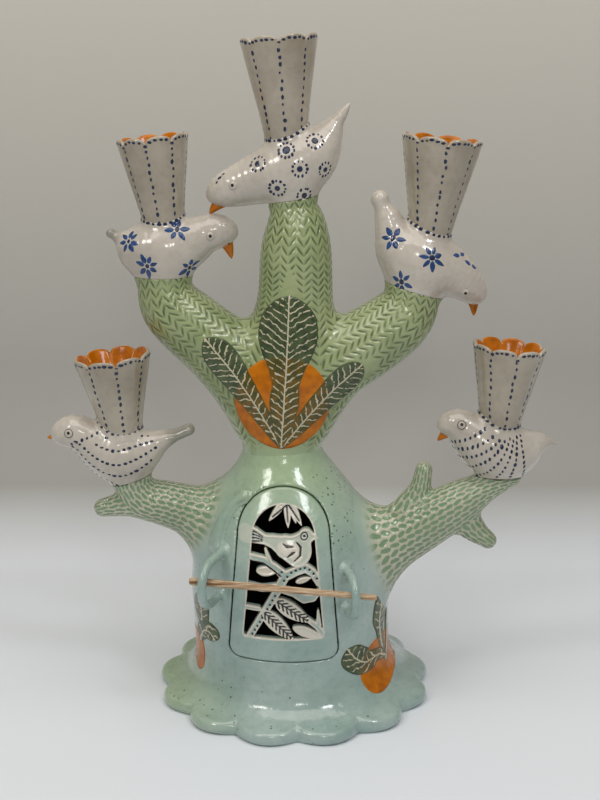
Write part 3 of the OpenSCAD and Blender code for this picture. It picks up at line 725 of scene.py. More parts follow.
def herringbone(angle, along, columns, pitch=5.3, width=5.7):
    """Slanted pressed marks that change hand from column to column: 1 in a mark, 0 between."""
    c = angle / (2 * math.pi) * columns
    f = c - np.floor(c)
    hand = np.where(np.floor(c) % 2 < 1, 1.0, -1.0)
    phase = (along + hand * (f - 0.5) * width) / pitch
    stroke = 0.5 + 0.5 * np.cos(2 * math.pi * phase)
    return stroke ** 1.5 * np.sin(math.pi * f) ** 0.4


def crown_skin(x, y, z):
    """The crown up to the birds' seats, with a soft neck towards each bird."""
    d = crown_field(x, y, z)
    for name in ("top", "upper_left", "upper_right"):
        neck = np.maximum(join(d, bird_field(name, x, y, z), 9), mount_field(name, x, y, z) - 2.2)
        reach = np.hypot(x - BIRDS[name][0][0] - BIRDS[name][2][0], z - BIRDS[name][0][1] - BIRDS[name][2][1])
        d = np.where(reach < 34, np.minimum(d, neck), d)
        d = np.where(reach < 34, cut(d, seat_plane(name, x, z), 0.5), d)
    return np.maximum(d, TRUNK_H - 10 - leaning(x, z)[1])


def leaf_mask(x, y, z):
    """0 under the painted spray on the front of the crown, where the clay was left smooth."""
    near = np.minimum(np.hypot(x + 8, (z - 222)) - 29, np.abs(x + 3) * 2.4 + np.abs(z - 268) * 0.9 - 42)
    for tip, far_x in ((-54, 262), (46, 245)):
        t = np.clip((z - 196) / (far_x - 196), 0, 1)
        near = np.minimum(near, np.hypot(x - (-8.8 + t * (tip + 8.8)), 0 * x) - 9 + 60 * (z > far_x + 8))
    return np.where(y < 0, np.clip(near / 4, 0, 1), 1)


def make_crown():
    """The crown's skin, with its herringbone pressed in to an uneven depth."""
    low, high = (-112, -33, 170), (108, 33, 366)
    points, quads = skin(crown_skin, low, high, 0.86)
    x, y, z = points.T
    choices = [limb_place(x, y, z, p) for p in (CENTRE_LIMB, LEFT_LIMB, RIGHT_LIMB)]
    nearest = np.argmin(np.stack([c[0] for c in choices]), 0)
    angle = np.choose(nearest, [c[1] for c in choices])
    along = np.choose(nearest, [c[2] for c in choices])
    mark = herringbone(angle, along, 28) * leaf_mask(x, y, z) * np.clip((z - 184) / 12, 0, 1)
    wander = 0.85 + 0.25 * np.sin(x * 0.21 + 1) * np.sin(z * 0.17) * np.cos(y * 0.19)
    slope = gradient(crown_skin, points, 0.3)
    slope /= np.maximum(np.linalg.norm(slope, axis=1, keepdims=True), 1e-6)
    points = points + slope * ((0.35 - 0.8 * mark * wander)[:, None])
    fade = np.clip((198 - z) / 20, 0, 1)
    piece = make_mesh("crown", points, quads, GREEN, {"groove": mark * wander, "fade": fade,
                                                      "green": np.clip(green_share(x, z), 0, 1)})
    keep(piece, "tree", "green_glaze", "crown_limb_centre", "crown_limb_left", "crown_limb_right")


make_crown()

# ---- Lower branches ----------------------------------------------------------------------------


def leaf_marks(angle, along, columns, pitch=6.4):
    """Rows of slanting leaf-shaped marks, each row set half a pitch on and leaning the other way:
    1 in a leaf, 0 in the line round it. A leaf is a lens as wide as 1 less its length squared."""
    c = angle / (2 * math.pi) * columns
    row = np.floor(c)
    f = (c - row - 0.5) * 2
    hand = np.where(row % 2 < 1, 1.0, -1.0)
    p = (along + 0.37 * pitch * row + 1.5 * hand * f + 0.8 * np.sin(row * 2.3)) / pitch
    q = (p - np.floor(p) - 0.5) * 2
    return np.clip((0.98 * (1 - q ** 2) ** 0.6 - np.abs(f) - 0.1) * 4, 0, 1)


def branch_skin(name, parts, bulk):
    """A branch with a soft root on the bell; away from the root it sinks under the bell's glaze."""
    def field(x, y, z):
        d = limb(x, y, z, parts[0])
        for part in parts[1:]:
            d = join(d, limb(x, y, z, part), 5)
        body = bird_field(name, x, y, z)
        neck = np.maximum(join(d, body, 9), mount_field(name, x, y, z) - 2.2)
        reach = np.hypot(x - BIRDS[name][0][0] - BIRDS[name][2][0], z - BIRDS[name][0][1] - BIRDS[name][2][1])
        d = np.where(reach < 27, np.minimum(d, neck), d)
        d = np.where(reach < 27, cut(d, seat_plane(name, x, z), 0.5), d)
        bell = trunk_field(x, y, z)
        near = limb(x, y, z, parts[0]) - bulk * 1.02
        d = join(d, bell, bulk) + 0.25
        return np.maximum(np.maximum(d, -(bell + 4)), near)
    return field


def make_branch(name, parts, low, high, node, bulk):
    """A branch's skin, with leaf marks pressed into it away from the bell."""
    field = branch_skin(name, parts, bulk)
    points, quads = skin(field, low, high, 0.75)
    x, y, z = points.T
    choices = [limb_place(x, y, z, p) for p in parts]
    nearest = np.argmin(np.stack([c[0] for c in choices]), 0)
    angle = np.choose(nearest, [c[1] for c in choices])
    along = np.choose(nearest, [c[2] for c in choices])
    rows = np.choose(nearest, [26, 16, 14][:len(parts)])
    bell = trunk_field(x, y, z)
    show = np.clip((bell - 0.6) / 6, 0, 1)
    mark = leaf_marks(angle, along, rows) * show
    slope = gradient(field, points, 0.3)
    slope /= np.maximum(np.linalg.norm(slope, axis=1, keepdims=True), 1e-6)
    points = points + slope * ((0.3 * show - 0.6 * mark)[:, None])
    piece = make_mesh(node, points, quads, BOUGH, {"groove": mark, "fade": 1 - show,
                                                   "green": np.clip(green_share(x, z), 0, 1)})
    keep(piece, "tree", "green_glaze", node)


make_branch("lower_left", [LEFT_BOUGH, LEFT_KNOB], (-143, -46, 92), (-34, 22, 172), "branch_left", 22)
make_branch("lower_right", [RIGHT_BOUGH, RIGHT_STUB, RIGHT_SPUR], (34, -46, 55), (162, 26, 176),
            "branch_right", 26)

# ---- Birds ---------------------------------------------------------------------------------------


def cup_frame(name):
    """A cup's foot point, its axis and the two directions across it."""
    at, depth, _, cup = BIRDS[name][:4]
    lean = math.radians(cup[2])
    axis = np.array([math.sin(lean), 0, math.cos(lean)])
    side = np.array([math.cos(lean), 0, -math.sin(lean)])
    return np.array([at[0] + cup[0], depth, at[1] + cup[1]]), axis, side, np.array([0, 1.0, 0])


def cup_cone(name, x, y, z):
    """Distance to the straight cone of a cup's outer wall."""
    foot, axis, side, _ = cup_frame(name)
    height, rim = BIRDS[name][3][3:5]
    dx, dy, dz = x - foot[0], y - foot[1], z - foot[2]
    up = dx * axis[0] + dz * axis[2]
    out = np.hypot(dx * side[0] + dz * side[2], dy)
    slope = (rim - CUP_FOOT_R) / height
    return np.maximum((out - CUP_FOOT_R - slope * np.maximum(up, 0)) / math.hypot(1, slope), -up - 3)


def bird_shape(name, x, y, z):
    """Above its seat a bird has a soft neck down to the limb and a fillet of slip round the cup's
    foot. Below it the belly is a little smaller, so that it lies inside the limb's glaze."""
    body = bird_field(name, x, y, z)
    neck = join(body, mount_field(name, x, y, z), 9)
    fillet = np.maximum(join(body, cup_cone(name, x, y, z), 5), body - 3.5)
    above = cut(np.minimum(neck, fillet), -seat_plane(name, x, z), 0.5)
    return np.minimum(above, body + 0.4)


def make_bird(name):
    """A bird's body and tail as one skin."""
    body, tail = PATHS[name]
    everything = np.vstack([body, tail])
    low = (everything[:, [0, 1, 2]] - everything[:, [3, 4, 3]]).min(0) - 5
    high = (everything[:, [0, 1, 2]] + everything[:, [3, 4, 3]]).max(0) + 5

    def field(x, y, z):
        return bird_shape(name, x, y, z)

    points, quads = skin(field, low, high, 0.9)
    near_tail = limb(*points.T, tail[3:])
    grey = np.clip(1 - near_tail / 3, 0, 1) * {"upper_left": 1.0, "lower_left": 1.0}.get(name, 0.0)
    piece = make_mesh(name + "_bird", points, quads, CREAM, {"grey": grey})
    keep(piece, "tree", "cream_glaze", name + "_body", name + "_tail")


for bird in BIRDS:
    make_bird(bird)


def make_beak(name):
    """A short wedge that droops to a blunt tip, deeper than it is wide, set into the face."""
    at, depth, *_, beak, _, _ = BIRDS[name]
    turn = math.radians(beak[2])
    along = np.array([math.cos(turn), 0, math.sin(turn)])
    up = np.array([-math.sin(turn), 0, math.cos(turn)])
    if up[2] < 0 or (abs(up[2]) < 0.3 and up[0] < 0):
        up = -up
    length, radius = beak[3:5]
    base = np.array([at[0] + beak[0], depth, at[1] + beak[1]])
    share = np.concatenate([[-0.45], np.linspace(-0.3, 0.86, 12), [0.93, 0.97, 0.995]])
    turns = np.arange(16) * 2 * math.pi / 16
    wide = radius * np.interp(share, [-0.45, 0, 0.5, 0.86, 1], [1.05, 1.0, 0.62, 0.3, 0.06])
    droop = -0.16 * length * np.clip(share, 0, 1) ** 2
    ring = (np.cos(turns)[:, None] * np.array([0, 0.86, 0]) + np.sin(turns)[:, None] * up * 1.12)
    middle = base + (share * length)[:, None] * along + droop[:, None] * up
    rows = middle[:, None] + wide[:, None, None] * ring
    poles = [rows[0].mean(0), rows[-1].mean(0) + along * 0.1]
    points = np.vstack([poles[0], rows.reshape(-1, 3), poles[1]])
    faces = closed_faces(len(share), len(turns))
    if np.dot(np.cross(ring[0], ring[4]), along) < 0:
        faces = [f[:, ::-1] for f in faces]
    keep(make_mesh(name + "_beak", points, faces, ORANGE), "tree", "orange_glaze", name + "_beak")
    sides = np.array([[0, -1.0, 0], [0, 1.0, 0]])
    return base + along * 0.12 * length + up * 0.35 * radius + sides * radius, sides


def make_eyes(name):
    """Two low buttons of clay with a dark pupil, a thin dark ring, and the two nostrils."""
    at, depth, *_, eye, _ = BIRDS[name]
    x, z = at[0] + eye[0], at[1] + eye[1]

    def body(a, b, c):
        return bird_field(name, a, b, c)

    both = np.vstack([cast(body, np.array([x]), np.array([z]), depth - s * 60, s) for s in (1.0, -1.0)])
    centres, normals = settle(body, both)
    sides = 24
    turn = np.arange(sides) * 2 * math.pi / sides
    first, second = across(normals)
    sizes = [(3.0, -0.6), (2.9, 0.1), (2.5, 0.55), (1.9, 0.85), (1.0, 1.0)]
    parts, pick = [], []
    for c, n, a, b in zip(centres, normals, first, second):
        rows = [c + n * h + r * (np.cos(turn)[:, None] * a + np.sin(turn)[:, None] * b) for r, h in sizes]
        points = np.vstack([c - n * 1.5, *rows, c + n * 1.05])
        quads, foot, head = closed_faces(len(sizes), sides)
        tri = np.vstack([foot, head, quads[:, [0, 1, 2]], quads[:, [0, 2, 3]]])
        parts.append((points, tri))
        pick.append(np.zeros(len(tri)))
    nostrils, out = make_beak(name)
    dark_at = np.vstack([centres + normals * 1.0 + second * 0.25, nostrils])
    dark_n = np.vstack([normals, out])
    parts.append(dots(dark_at, dark_n, np.array([[1.15, 1.25], [1.15, 1.25], [0.7, 0.7], [0.7, 0.7]])))
    pick.append(np.ones(len(parts[-1][1])))
    if name.startswith("lower"):
        hoop = np.arange(22) * 2 * math.pi / 22
        for c, n, a, b in zip(centres, normals, first, second):
            ring = c + n * 0.28 + 2.75 * (np.cos(hoop)[:, None] * a + np.sin(hoop)[:, None] * b)
            parts.append(dots(ring, np.repeat(n[None], 22, 0), np.full((22, 2), 0.42), lift=0.1))
            pick.append(np.ones(len(parts[-1][1])))
    points, faces = gather(parts)
    piece = make_mesh(name + "_eyes", points, faces, [CREAM, DARK], None, np.concatenate(pick))
    keep(piece, "tree", "navy_glaze", name + "_eyes")


for bird in BIRDS:
    make_eyes(bird)

# ---- Candle cups ---------------------------------------------------------------------------------

CUP_TURN = {"top": 0.0, "upper_left": -0.12, "upper_right": 0.05, "lower_left": 0.22, "lower_right": 0.1}


def scallop(angle):
    """Drop of the rim below its peaks: round-topped lobes between sharp notches."""
    s = (angle / (2 * math.pi) * RIM_LOBES) % 1 * 2 - 1
    return RIM_NOTCH * (1 - np.sqrt(np.clip(1 - s ** 2, 0, 1)) ** 0.75)


def cup_point(name, angle, share, inward=0.0):
    """Point of a cup's outer wall at an angle and a share of its height: a nearly straight flare,
    with shallow flutes between the dotted lines and a little unevenness from the hand."""
    foot, axis, side, deep = cup_frame(name)
    height, rim = BIRDS[name][3][3:5]
    share = np.asarray(share, dtype=float)
    flare = np.interp(share, [-0.2, 0, 0.1, 0.3, 0.55, 0.82, 1], [-0.06, 0, 0.08, 0.27, 0.55, 0.84, 1])
    s = (angle / (2 * math.pi) * RIM_LOBES) % 1 * 2 - 1
    radius = CUP_FOOT_R + (rim - CUP_FOOT_R) * flare
    radius = radius - 0.9 * s ** 2 * np.clip(share, 0, 1) - 0.5 * (1 - s ** 2) * (share < 0)
    radius = radius + 0.3 * np.sin(2 * angle + rim) * np.clip(share, 0, 1) - inward
    up = height * share - scallop(angle) * np.clip(share, 0, 1) ** 5
    turned = angle + CUP_TURN[name] - math.pi / 2
    return (foot + radius[..., None] * (np.cos(turned)[..., None] * side + np.sin(turned)[..., None] * deep)
            + up[..., None] * axis)


def cup_place(name, angle, share):
    """Points on a cup's outer wall and the wall's normals there."""
    p = cup_point(name, angle, share)
    n = np.cross(cup_point(name, angle + 0.02, share) - cup_point(name, angle - 0.02, share),
                 cup_point(name, angle, share + 0.01) - cup_point(name, angle, share - 0.01))
    return p, n / np.linalg.norm(n, axis=1, keepdims=True)


def make_cup(name):
    """The outer wall, the rounded rim, the flared inside and the bore, as one closed surface."""
    foot, axis, side, deep = cup_frame(name)
    height, rim = BIRDS[name][3][3:5]
    columns = RIM_LOBES * 22
    angle = np.arange(columns) * 2 * math.pi / columns
    rows = [cup_point(name, angle, np.full(columns, s)) for s in (-0.04, *np.linspace(0, 0.97, 26))]
    for turn in (20, 45, 70, 90, 115, 145):
        t = math.radians(turn)
        rows.append(cup_point(name, angle, np.full(columns, 0.97 + 0.03 * math.sin(t)),
                              RIM_T / 2 * (1 - math.cos(t))))
    top = (CUP_FLOOR + BORE_DEPTH) / height
    outer = CUP_FOOT_R + (rim - CUP_FOOT_R) * top
    for s in np.linspace(0.97, top, 14):
        t = (s - top) / (0.97 - top)
        rows.append(cup_point(name, angle, np.full(columns, s), RIM_T * t + (outer - BORE_R) * (1 - t)))
    turned = angle + CUP_TURN[name] - math.pi / 2
    ring = (np.cos(turned)[:, None] * side + np.sin(turned)[:, None] * deep) * BORE_R
    for up in (CUP_FLOOR + BORE_DEPTH - 2, CUP_FLOOR + 2, CUP_FLOOR):
        rows.append(foot + axis * up + ring)
    points = np.vstack([foot - axis * 2.5] + rows + [foot + axis * CUP_FLOOR])
    faces = closed_faces(len(rows), columns)
    row = np.arange(len(faces[0])) // columns
    pick = np.concatenate([row > 30, np.zeros(columns), np.ones(columns)])
    piece = make_mesh(name + "_cup", points, faces, [CUP, ORANGE], None, pick)
    keep(piece, "tree", "cream_glaze", name + "_cup")


def cup_dots(name):
    """Dotted lines down the creases between the flutes, and dots along the scalloped rim."""
    height, rim = BIRDS[name][3][3:5]
    parts = []
    for k in range(RIM_LOBES):
        count = int(height * 0.9 / 4.9)
        share = np.linspace(0.05, 0.88, count) + rng.normal(0, 0.006, count)
        angle = k * 2 * math.pi / RIM_LOBES + rng.normal(0, 0.012, count)
        p, n = cup_place(name, angle, share)
        inside = bird_field(name, *p.T) > 0.9
        parts.append(dots(p[inside], n[inside], brushed(inside.sum(), 0.85, 1.25)))
    count = int(2 * math.pi * rim / 3.7)
    angle = (np.arange(count) + rng.normal(0, 0.08, count)) * 2 * math.pi / count
    p, n = cup_place(name, angle, 1 - 2.6 / height + rng.normal(0, 0.003, count))
    parts.append(dots(p, n, brushed(count, 1.15, 0.8)))
    return parts


for bird in BIRDS:
    make_cup(bird)

# ---- Door with its carved window -------------------------------------------------------------------


def stroke(x, z, rows):
    """Distance to a chain of tapered strokes on the flat, from rows of [x, z, half width]."""
    best = np.full(np.shape(x), 1e3)
    for a, b in zip(rows[:-1], rows[1:]):
        dx, dz = b[0] - a[0], b[1] - a[1]
        t = np.clip(((x - a[0]) * dx + (z - a[1]) * dz) / max(dx * dx + dz * dz, 1e-6), 0, 1)
        best = np.minimum(best, np.hypot(x - a[0] - t * dx, z - a[1] - t * dz) - a[2] - t * (b[2] - a[2]))
    return best


def leaf_place(x, z, a, b):
    """Share of the way from a leaf's root to its tip, and distance to the left of its midrib."""
    dx, dz = b[0] - a[0], b[1] - a[1]
    length = math.hypot(dx, dz)
    share = ((x - a[0]) * dx + (z - a[1]) * dz) / length ** 2
    return share, ((z - a[1]) * dx - (x - a[0]) * dz) / length, length


def leaf_shape(x, z, a, b, half):
    """Distance to a pointed leaf: its half width follows the root of a sine from end to end."""
    share, off, length = leaf_place(x, z, a, b)
    wide = half * np.sin(math.pi * np.clip(share, 0, 1) ** 0.8) ** 0.8
    beyond = np.maximum(-share, share - 1) * length
    return np.maximum((np.abs(off) - wide) * 0.8, beyond)


DOOR_BOUGHS = [
    [(-36, 123, 2.4), (-21, 121.5, 2.3), (-13, 117, 2.5), (-6, 111.5, 3.2), (2, 115, 3.0), (8, 116.5, 2.9),
     (13, 113, 2.6), (17, 106, 2.4), (22, 103, 2.4)],
    [(-19.5, 128.5, 0.9), (-16.5, 120, 2.0)],
    [(-6, 111.5, 3.2), (-10, 104, 3.0), (-14, 97, 2.7), (-22, 83, 2.5), (-31, 66, 2.4)],
    [(-38, 88.5, 1.7), (-24, 88, 1.6)],
    [(-37, 104, 2.0), (-22, 102.5, 2.1), (-12, 104, 2.4), (0, 100, 2.4), (7, 96, 3.2), (13, 96, 2.6),
     (18, 101, 1.8)],
    [(8, 82, 1.6), (16, 75, 2.0), (22, 66, 2.4)],
    [(16.5, 86.5, 0.8), (17, 76, 1.9)]]
DOOR_LEAVES = [((-26, 114), (-11, 114.5), 3.2), ((-14, 96), (11.5, 78.5), 5.4), ((-22.5, 88), (0, 66), 5.6),
               ((-1, 75.5), (20, 66.5), 3.6), ((1, 107.5), (12, 110), 1.9)]
DOOR_SPRAY = [((-4.5, 160), (-17.5, 145.5), 2.4), ((-5, 160), (-4, 141.5), 2.5),
              ((-4, 160), (5.5, 142.5), 2.3), ((-4, 160), (1.5, 144), 2.0)]
DOOR_BIRD = [[(2.5, 127, 9.6), (-6, 130.2, 7.2), (-14, 133.2, 4.2), (-20, 134.2, 3.0), (-27, 136, 4.6),
              (-33, 137, 6.0)],
             [(3, 130, 8), (7.5, 136, 4.9)], [(10, 136, 3.4), (16.8, 135, 0.5)]]


def door_art(x, z):
    """Distance to the window's carving, and to its leaves and to its bird alone."""
    bird = stroke(x, z, DOOR_BIRD[0])
    for rows in DOOR_BIRD[1:]:
        bird = join(bird, stroke(x, z, rows), 2.5)
    boughs = np.min([stroke(x, z, rows) for rows in DOOR_BOUGHS], 0)
    leaves = np.min([leaf_shape(x, z, *one) for one in DOOR_LEAVES + DOOR_SPRAY], 0)
    return np.minimum(np.minimum(bird, boughs), leaves), leaves, bird


def door_lines(x, z):
    """Distance to the lines and dots that are cut into the carving and filled with dark slip."""
    lines = [stroke(x, z, [(6.9, 136.6, 0.75), (7.3, 136.6, 0.75)]),
             np.abs(np.hypot(x - 7, z - 136.5) - 2.3) - 0.3,
             stroke(x, z, [(-7.5, 132.2, 0.2), (-5, 130.4, 0.9), (-0.5, 130.2, 0.3)]),
             stroke(x, z, [(-4.5, 123.8, 0.3), (-1, 126.2, 0.9), (1, 127.2, 0.2)]),
             stroke(x, z, [(1.8, 133, 0.3), (4.6, 129.8, 0.7), (4.2, 124.6, 0.6), (0.2, 121.2, 0.3)])]
    for k in (-3, -1, 1, 3):
        lines.append(stroke(x, z, [(-32, 136.2 + 1.35 * k, 0.75), (-21.5, 134.6 + 0.45 * k, 0.15)]))
    lines.append(stroke(x, z, [(-36, 120.8, 0.5), (-21, 119.6, 0.5), (-14, 115.4, 0.5), (-9, 111.5, 0.4)]))
    for a, b, half in DOOR_SPRAY[:3]:
        end = ((a[0] + 4 * b[0]) / 5, (a[1] + 4 * b[1]) / 5, 0.35)
        lines.append(stroke(x, z, [(a[0], a[1] - 4, 0.5), end]))
    for a, b, half in DOOR_LEAVES[1:3]:
        share, off, length = leaf_place(x, z, a, b)
        rib = np.abs(off) - 0.3
        vein = (share * length - np.abs(off) * 1.1 + 0.8 * (off > 0)) / 3.5
        side = np.abs(vein - np.round(vein)) * 3.5 * 0.67 - 0.45
        inside = np.maximum(np.abs(off) - half * 0.6, np.maximum(0.1 - share, share - 0.92) * length)
        lines.append(np.maximum(np.minimum(rib, side), inside))
    dots_at = [(-6.8, 108.6), (-8.3, 114.2), (-4.6, 111.2), (-1.8, 113.9), (1.2, 115.2), (4.3, 116.1),
               (7.4, 116.6), (10.6, 115.2), (13.4, 112.4), (15.6, 109)]
    dots_at += [(-11.2 - 1.75 * k, 101.4 - 3.25 * k) for k in range(11)]
    lines.append(np.min([np.hypot(x - a, z - b) - 0.72 for a, b in dots_at], 0))
    return np.min(lines, 0)


def door_skin(x, y, z):
    """A slab cut out of the bell's wall, with a rounded edge, a window and its carving: the carving's
    edges stand up and its middle and its lines are pared down."""
    art = door_art(x, z)[0]
    window = window_arch(x, z)
    flat = np.maximum(door_arch(x, z), np.minimum(-window, art))
    pared = np.where(window < 0, 0.55 * np.clip(-art - 0.7, 0, 1.0) + 0.15, 0)
    pared = pared - np.clip(1 - np.abs(window + 0.3) / 1.1, 0, 1) * 0.25
    cutline = np.where(window < 0.3, np.clip(0.5 - door_lines(x, z), 0, 0.5), 0)
    bell = trunk_field(x, y, z)
    thick = np.maximum(bell + pared + cutline, -(bell + DOOR_T))
    return cut(flat, thick, 0.9)


def make_door():
    """The door's skin, with attributes for its cream edges and leaves and its inked lines."""
    step = 0.6
    points, quads = skin(door_skin, (DOOR_X - 41, -76, 45), (DOOR_X + 41, -26, 172), step)
    x, y, z = points.T
    art, leaves, bird = door_art(x, z)
    window = window_arch(x, z)
    front = trunk_field(x, y, z) > -2.4
    cream = np.clip(1.75 + art, 0, 1) * (window < 1)
    cream = np.maximum(cream, 0.45 * (bird < 0))
    cream = np.maximum(cream, (leaves < 0.2) * (window < 0.5))
    belly = np.clip(1 - stroke(x, z, [(-8, 130, 3), (0, 127.5, 4.6), (2, 124, 3.5)]) / 1.5, 0, 1)
    cream = np.maximum(cream, belly * (bird < 0))
    edge = np.clip(1.1 - np.abs(window - 0.1), 0, 1) * 0.9
    ink = np.clip(0.9 - door_lines(x, z) / 0.35, 0, 1) * (window < 0.2) * front
    piece = make_mesh("pierced_door", points, quads, DOOR,
                      {"cream": np.clip(np.maximum(cream, edge), 0, 1) * front, "groove": ink,
                       "green": np.clip((z - 112) / 60, 0, 1) * 0.75})
    keep(piece, "door", "celadon_glaze", "door_panel")


make_door()

# ---- Bar, its two loops and the collar round the doorway -----------------------------------------------

BAR_Y = -trunk_radius(BAR_Z * math.cos(LEAN) - DOOR_X * math.sin(LEAN)) - 2.5 - 0.4 - BAR_R
COIL_R = 3.2


def bar_height(x):
    """Height of the bar's axis, which slopes down to the right."""
    return BAR_Z - (x - DOOR_X) * math.tan(BAR_SLOPE)


def loop_tube(x, y, z, at, ring, turn):
    """Distance to a loop: half a ring of coil in front and two legs running back to the trunk."""
    t = math.radians(turn)
    drop = 3.0
    bar = BAR_R + (BAR_TIP_R - BAR_R) * ((at - DOOR_X) / BAR_LEN + 0.5)
    reach = ring * math.cos(t) - COIL_R - bar - 0.4
    dx, dy, dz = x - at, y - BAR_Y - math.sqrt(reach ** 2 - drop ** 2), z - bar_height(at) + drop
    side, deep = dx * math.cos(t) + dy * math.sin(t), dy * math.cos(t) - dx * math.sin(t)
    flat = np.where(deep < 0, np.abs(np.hypot(deep, dz) - ring), np.abs(np.abs(dz) - ring))
    return np.hypot(flat, side) - COIL_R


COLLAR = smooth_path([[DOOR_X - DOOR_ARCH + a, DOOR_SPRING + b] for a, b in
                      ((3, 26), (-5, 21), (-12, 10), (-16, -2), (-17, -10))], 5)


def collar_tube(x, y, z):
    """Distance to the collar: a coil of clay half sunk in the bell's skin."""
    flat = stroke(x, z, [(a, b, 0.0) for a, b in COLLAR])
    return np.hypot(flat, trunk_field(x, y, z) - 0.6) - 3.4


def plain_celadon(points):
    """Attributes of celadon without speckles."""
    return {"green": np.clip(green_share(points[:, 0], points[:, 2]), 0, 1), "speckle": np.zeros(len(points))}


def luted(tube, x, y, z, soft):
    """A coil with its foot drawn out over the bell, kept to the bell's skin near the coil."""
    bell = trunk_field(x, y, z)
    d = join(tube, bell, soft) + 0.12
    return np.maximum(np.maximum(d, -(bell + 2.5)), tube - soft * 0.6)


def make_loops():
    """The two loops and the collar, each a coil luted to the bell and kept off the doorway."""
    step = 0.75
    for name, at, ring, turn in (("bar_loop_left", DOOR_X - DOOR_HALF - 12, 15.0, -20.0),
                                 ("bar_loop_right", DOOR_X + DOOR_HALF + 9, 13.5, 12.0)):
        def field(x, y, z, at=at, ring=ring, turn=turn):
            d = luted(loop_tube(x, y, z, at, ring, turn), x, y, z, 5)
            return np.maximum(d, -(door_arch(x, z, DOOR_GAP)))
        mid = bar_height(at) - 3
        low, high = (at - 13, -82, mid - ring - 9), (at + 13, -36, mid + ring + 9)
        points, quads = skin(field, low, high, step)
        keep(make_mesh(name, points, quads, CELADON, plain_celadon(points)), "tree", "celadon_glaze", name)

    def field(x, y, z):
        d = luted(collar_tube(x, y, z), x, y, z, 6)
        return np.maximum(d, -(door_arch(x, z, DOOR_GAP)))
    low, high = (DOOR_X - 58, -82, 116), (DOOR_X - 20, -34, 170)
    points, quads = skin(field, low, high, step)
    piece = make_mesh("doorway_collar", points, quads, CELADON, plain_celadon(points))
    keep(piece, "tree", "celadon_glaze", "doorway_coil")


make_loops()


def make_bar():
    """A split stick: a taper with flat split faces, fibres that stand a little proud, and ends that
    were snapped and rubbed blunt."""
    rows, columns = ((200, 56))
    turn = np.arange(columns) * 2 * math.pi / columns
    share = np.linspace(0, 1, rows)
    radius = BAR_R + (BAR_TIP_R - BAR_R) * share
    facet = 1 - 0.1 * np.abs(np.sin(1.5 * turn + 0.4)) - 0.05 * np.abs(np.sin(2.5 * turn + 1))
    fibre = 0.05 * np.sin(np.outer(share * 9 + 0.5 * np.sin(share * 17), np.ones(columns)) + 9 * turn)
    end = np.sqrt(np.clip(1 - ((np.abs(share - 0.5) - 0.489) / 0.011).clip(0, 1) ** 2 * 0.5, 0, 1))
    size = radius[:, None] * (facet + fibre * 0.6) * end[:, None]
    along = (share - 0.5) * (BAR_LEN - 0.8)
    a = np.array([math.cos(BAR_SLOPE), 0, -math.sin(BAR_SLOPE)])
    up = np.array([math.sin(BAR_SLOPE), 0, math.cos(BAR_SLOPE)])
    middle = np.array([DOOR_X, BAR_Y, BAR_Z]) + along[:, None] * a
    ring = np.cos(turn)[:, None] * np.array([0, 1.0, 0]) + np.sin(turn)[:, None] * up
    points = middle[:, None] + size[..., None] * ring
    points = np.vstack([middle[0] - a * 0.3, points.reshape(-1, 3), middle[-1] + a * 0.3])
    faces = closed_faces(rows, columns)
    if np.dot(np.cross(ring[0], ring[columns // 4]), a) < 0:
        faces = [f[:, ::-1] for f in faces]
    keep(make_mesh("locking_bar_split", points, faces, WOOD), "bar", "raw_wood", "locking_bar")


make_bar()

# ---- Painted sprays: leaves and orange fruit ------------------------------------------------------------


def painted_leaf(field, rib, widths, start=-130.0, lift=0.3):
    """A leaf on a surface: a midrib curve [x, z], and half widths [share, left, right] along it.
    Returns its skin with the distance from the midrib, the vein count and the edge distance."""
    rows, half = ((60, 14))
    rib = smooth_path(rib, 12)
    length = np.concatenate([[0], np.cumsum(np.hypot(*np.diff(rib, axis=0).T))])
    share = np.linspace(0, 1, rows)
    mid = np.stack([np.interp(share * length[-1], length, rib[:, k]) for k in (0, 1)], 1)
    along = np.gradient(mid, axis=0)
    along /= np.linalg.norm(along, axis=1, keepdims=True)
    square = np.stack([along[:, 1], -along[:, 0]], 1)
    w = smooth_path(widths, 8)
    left, right = (np.interp(share, w[:, 0], w[:, k]).clip(0.25) for k in (1, 2))
    t = np.linspace(-1, 1, 2 * half + 1)
    off = np.where(t < 0, t[None] * left[:, None], t[None] * right[:, None])
    flat = mid[:, None] + off[..., None] * square[:, None]
    p, n = settle(field, cast(field, *flat.reshape(-1, 2).T, start))
    vein = (share[:, None] * length[-1] - 0.8 * np.abs(off) + 0.012 * off ** 2 + 2.2 * (off > 0)) / 5.2
    edge = np.minimum(np.where(off < 0, left[:, None], right[:, None]) - np.abs(off), 99)
    skin_points, faces = thin_skin(p, n, rows, len(t), lift)
    values = [np.tile(v.ravel(), 2) for v in (off, vein, edge)]
    return skin_points, faces, values


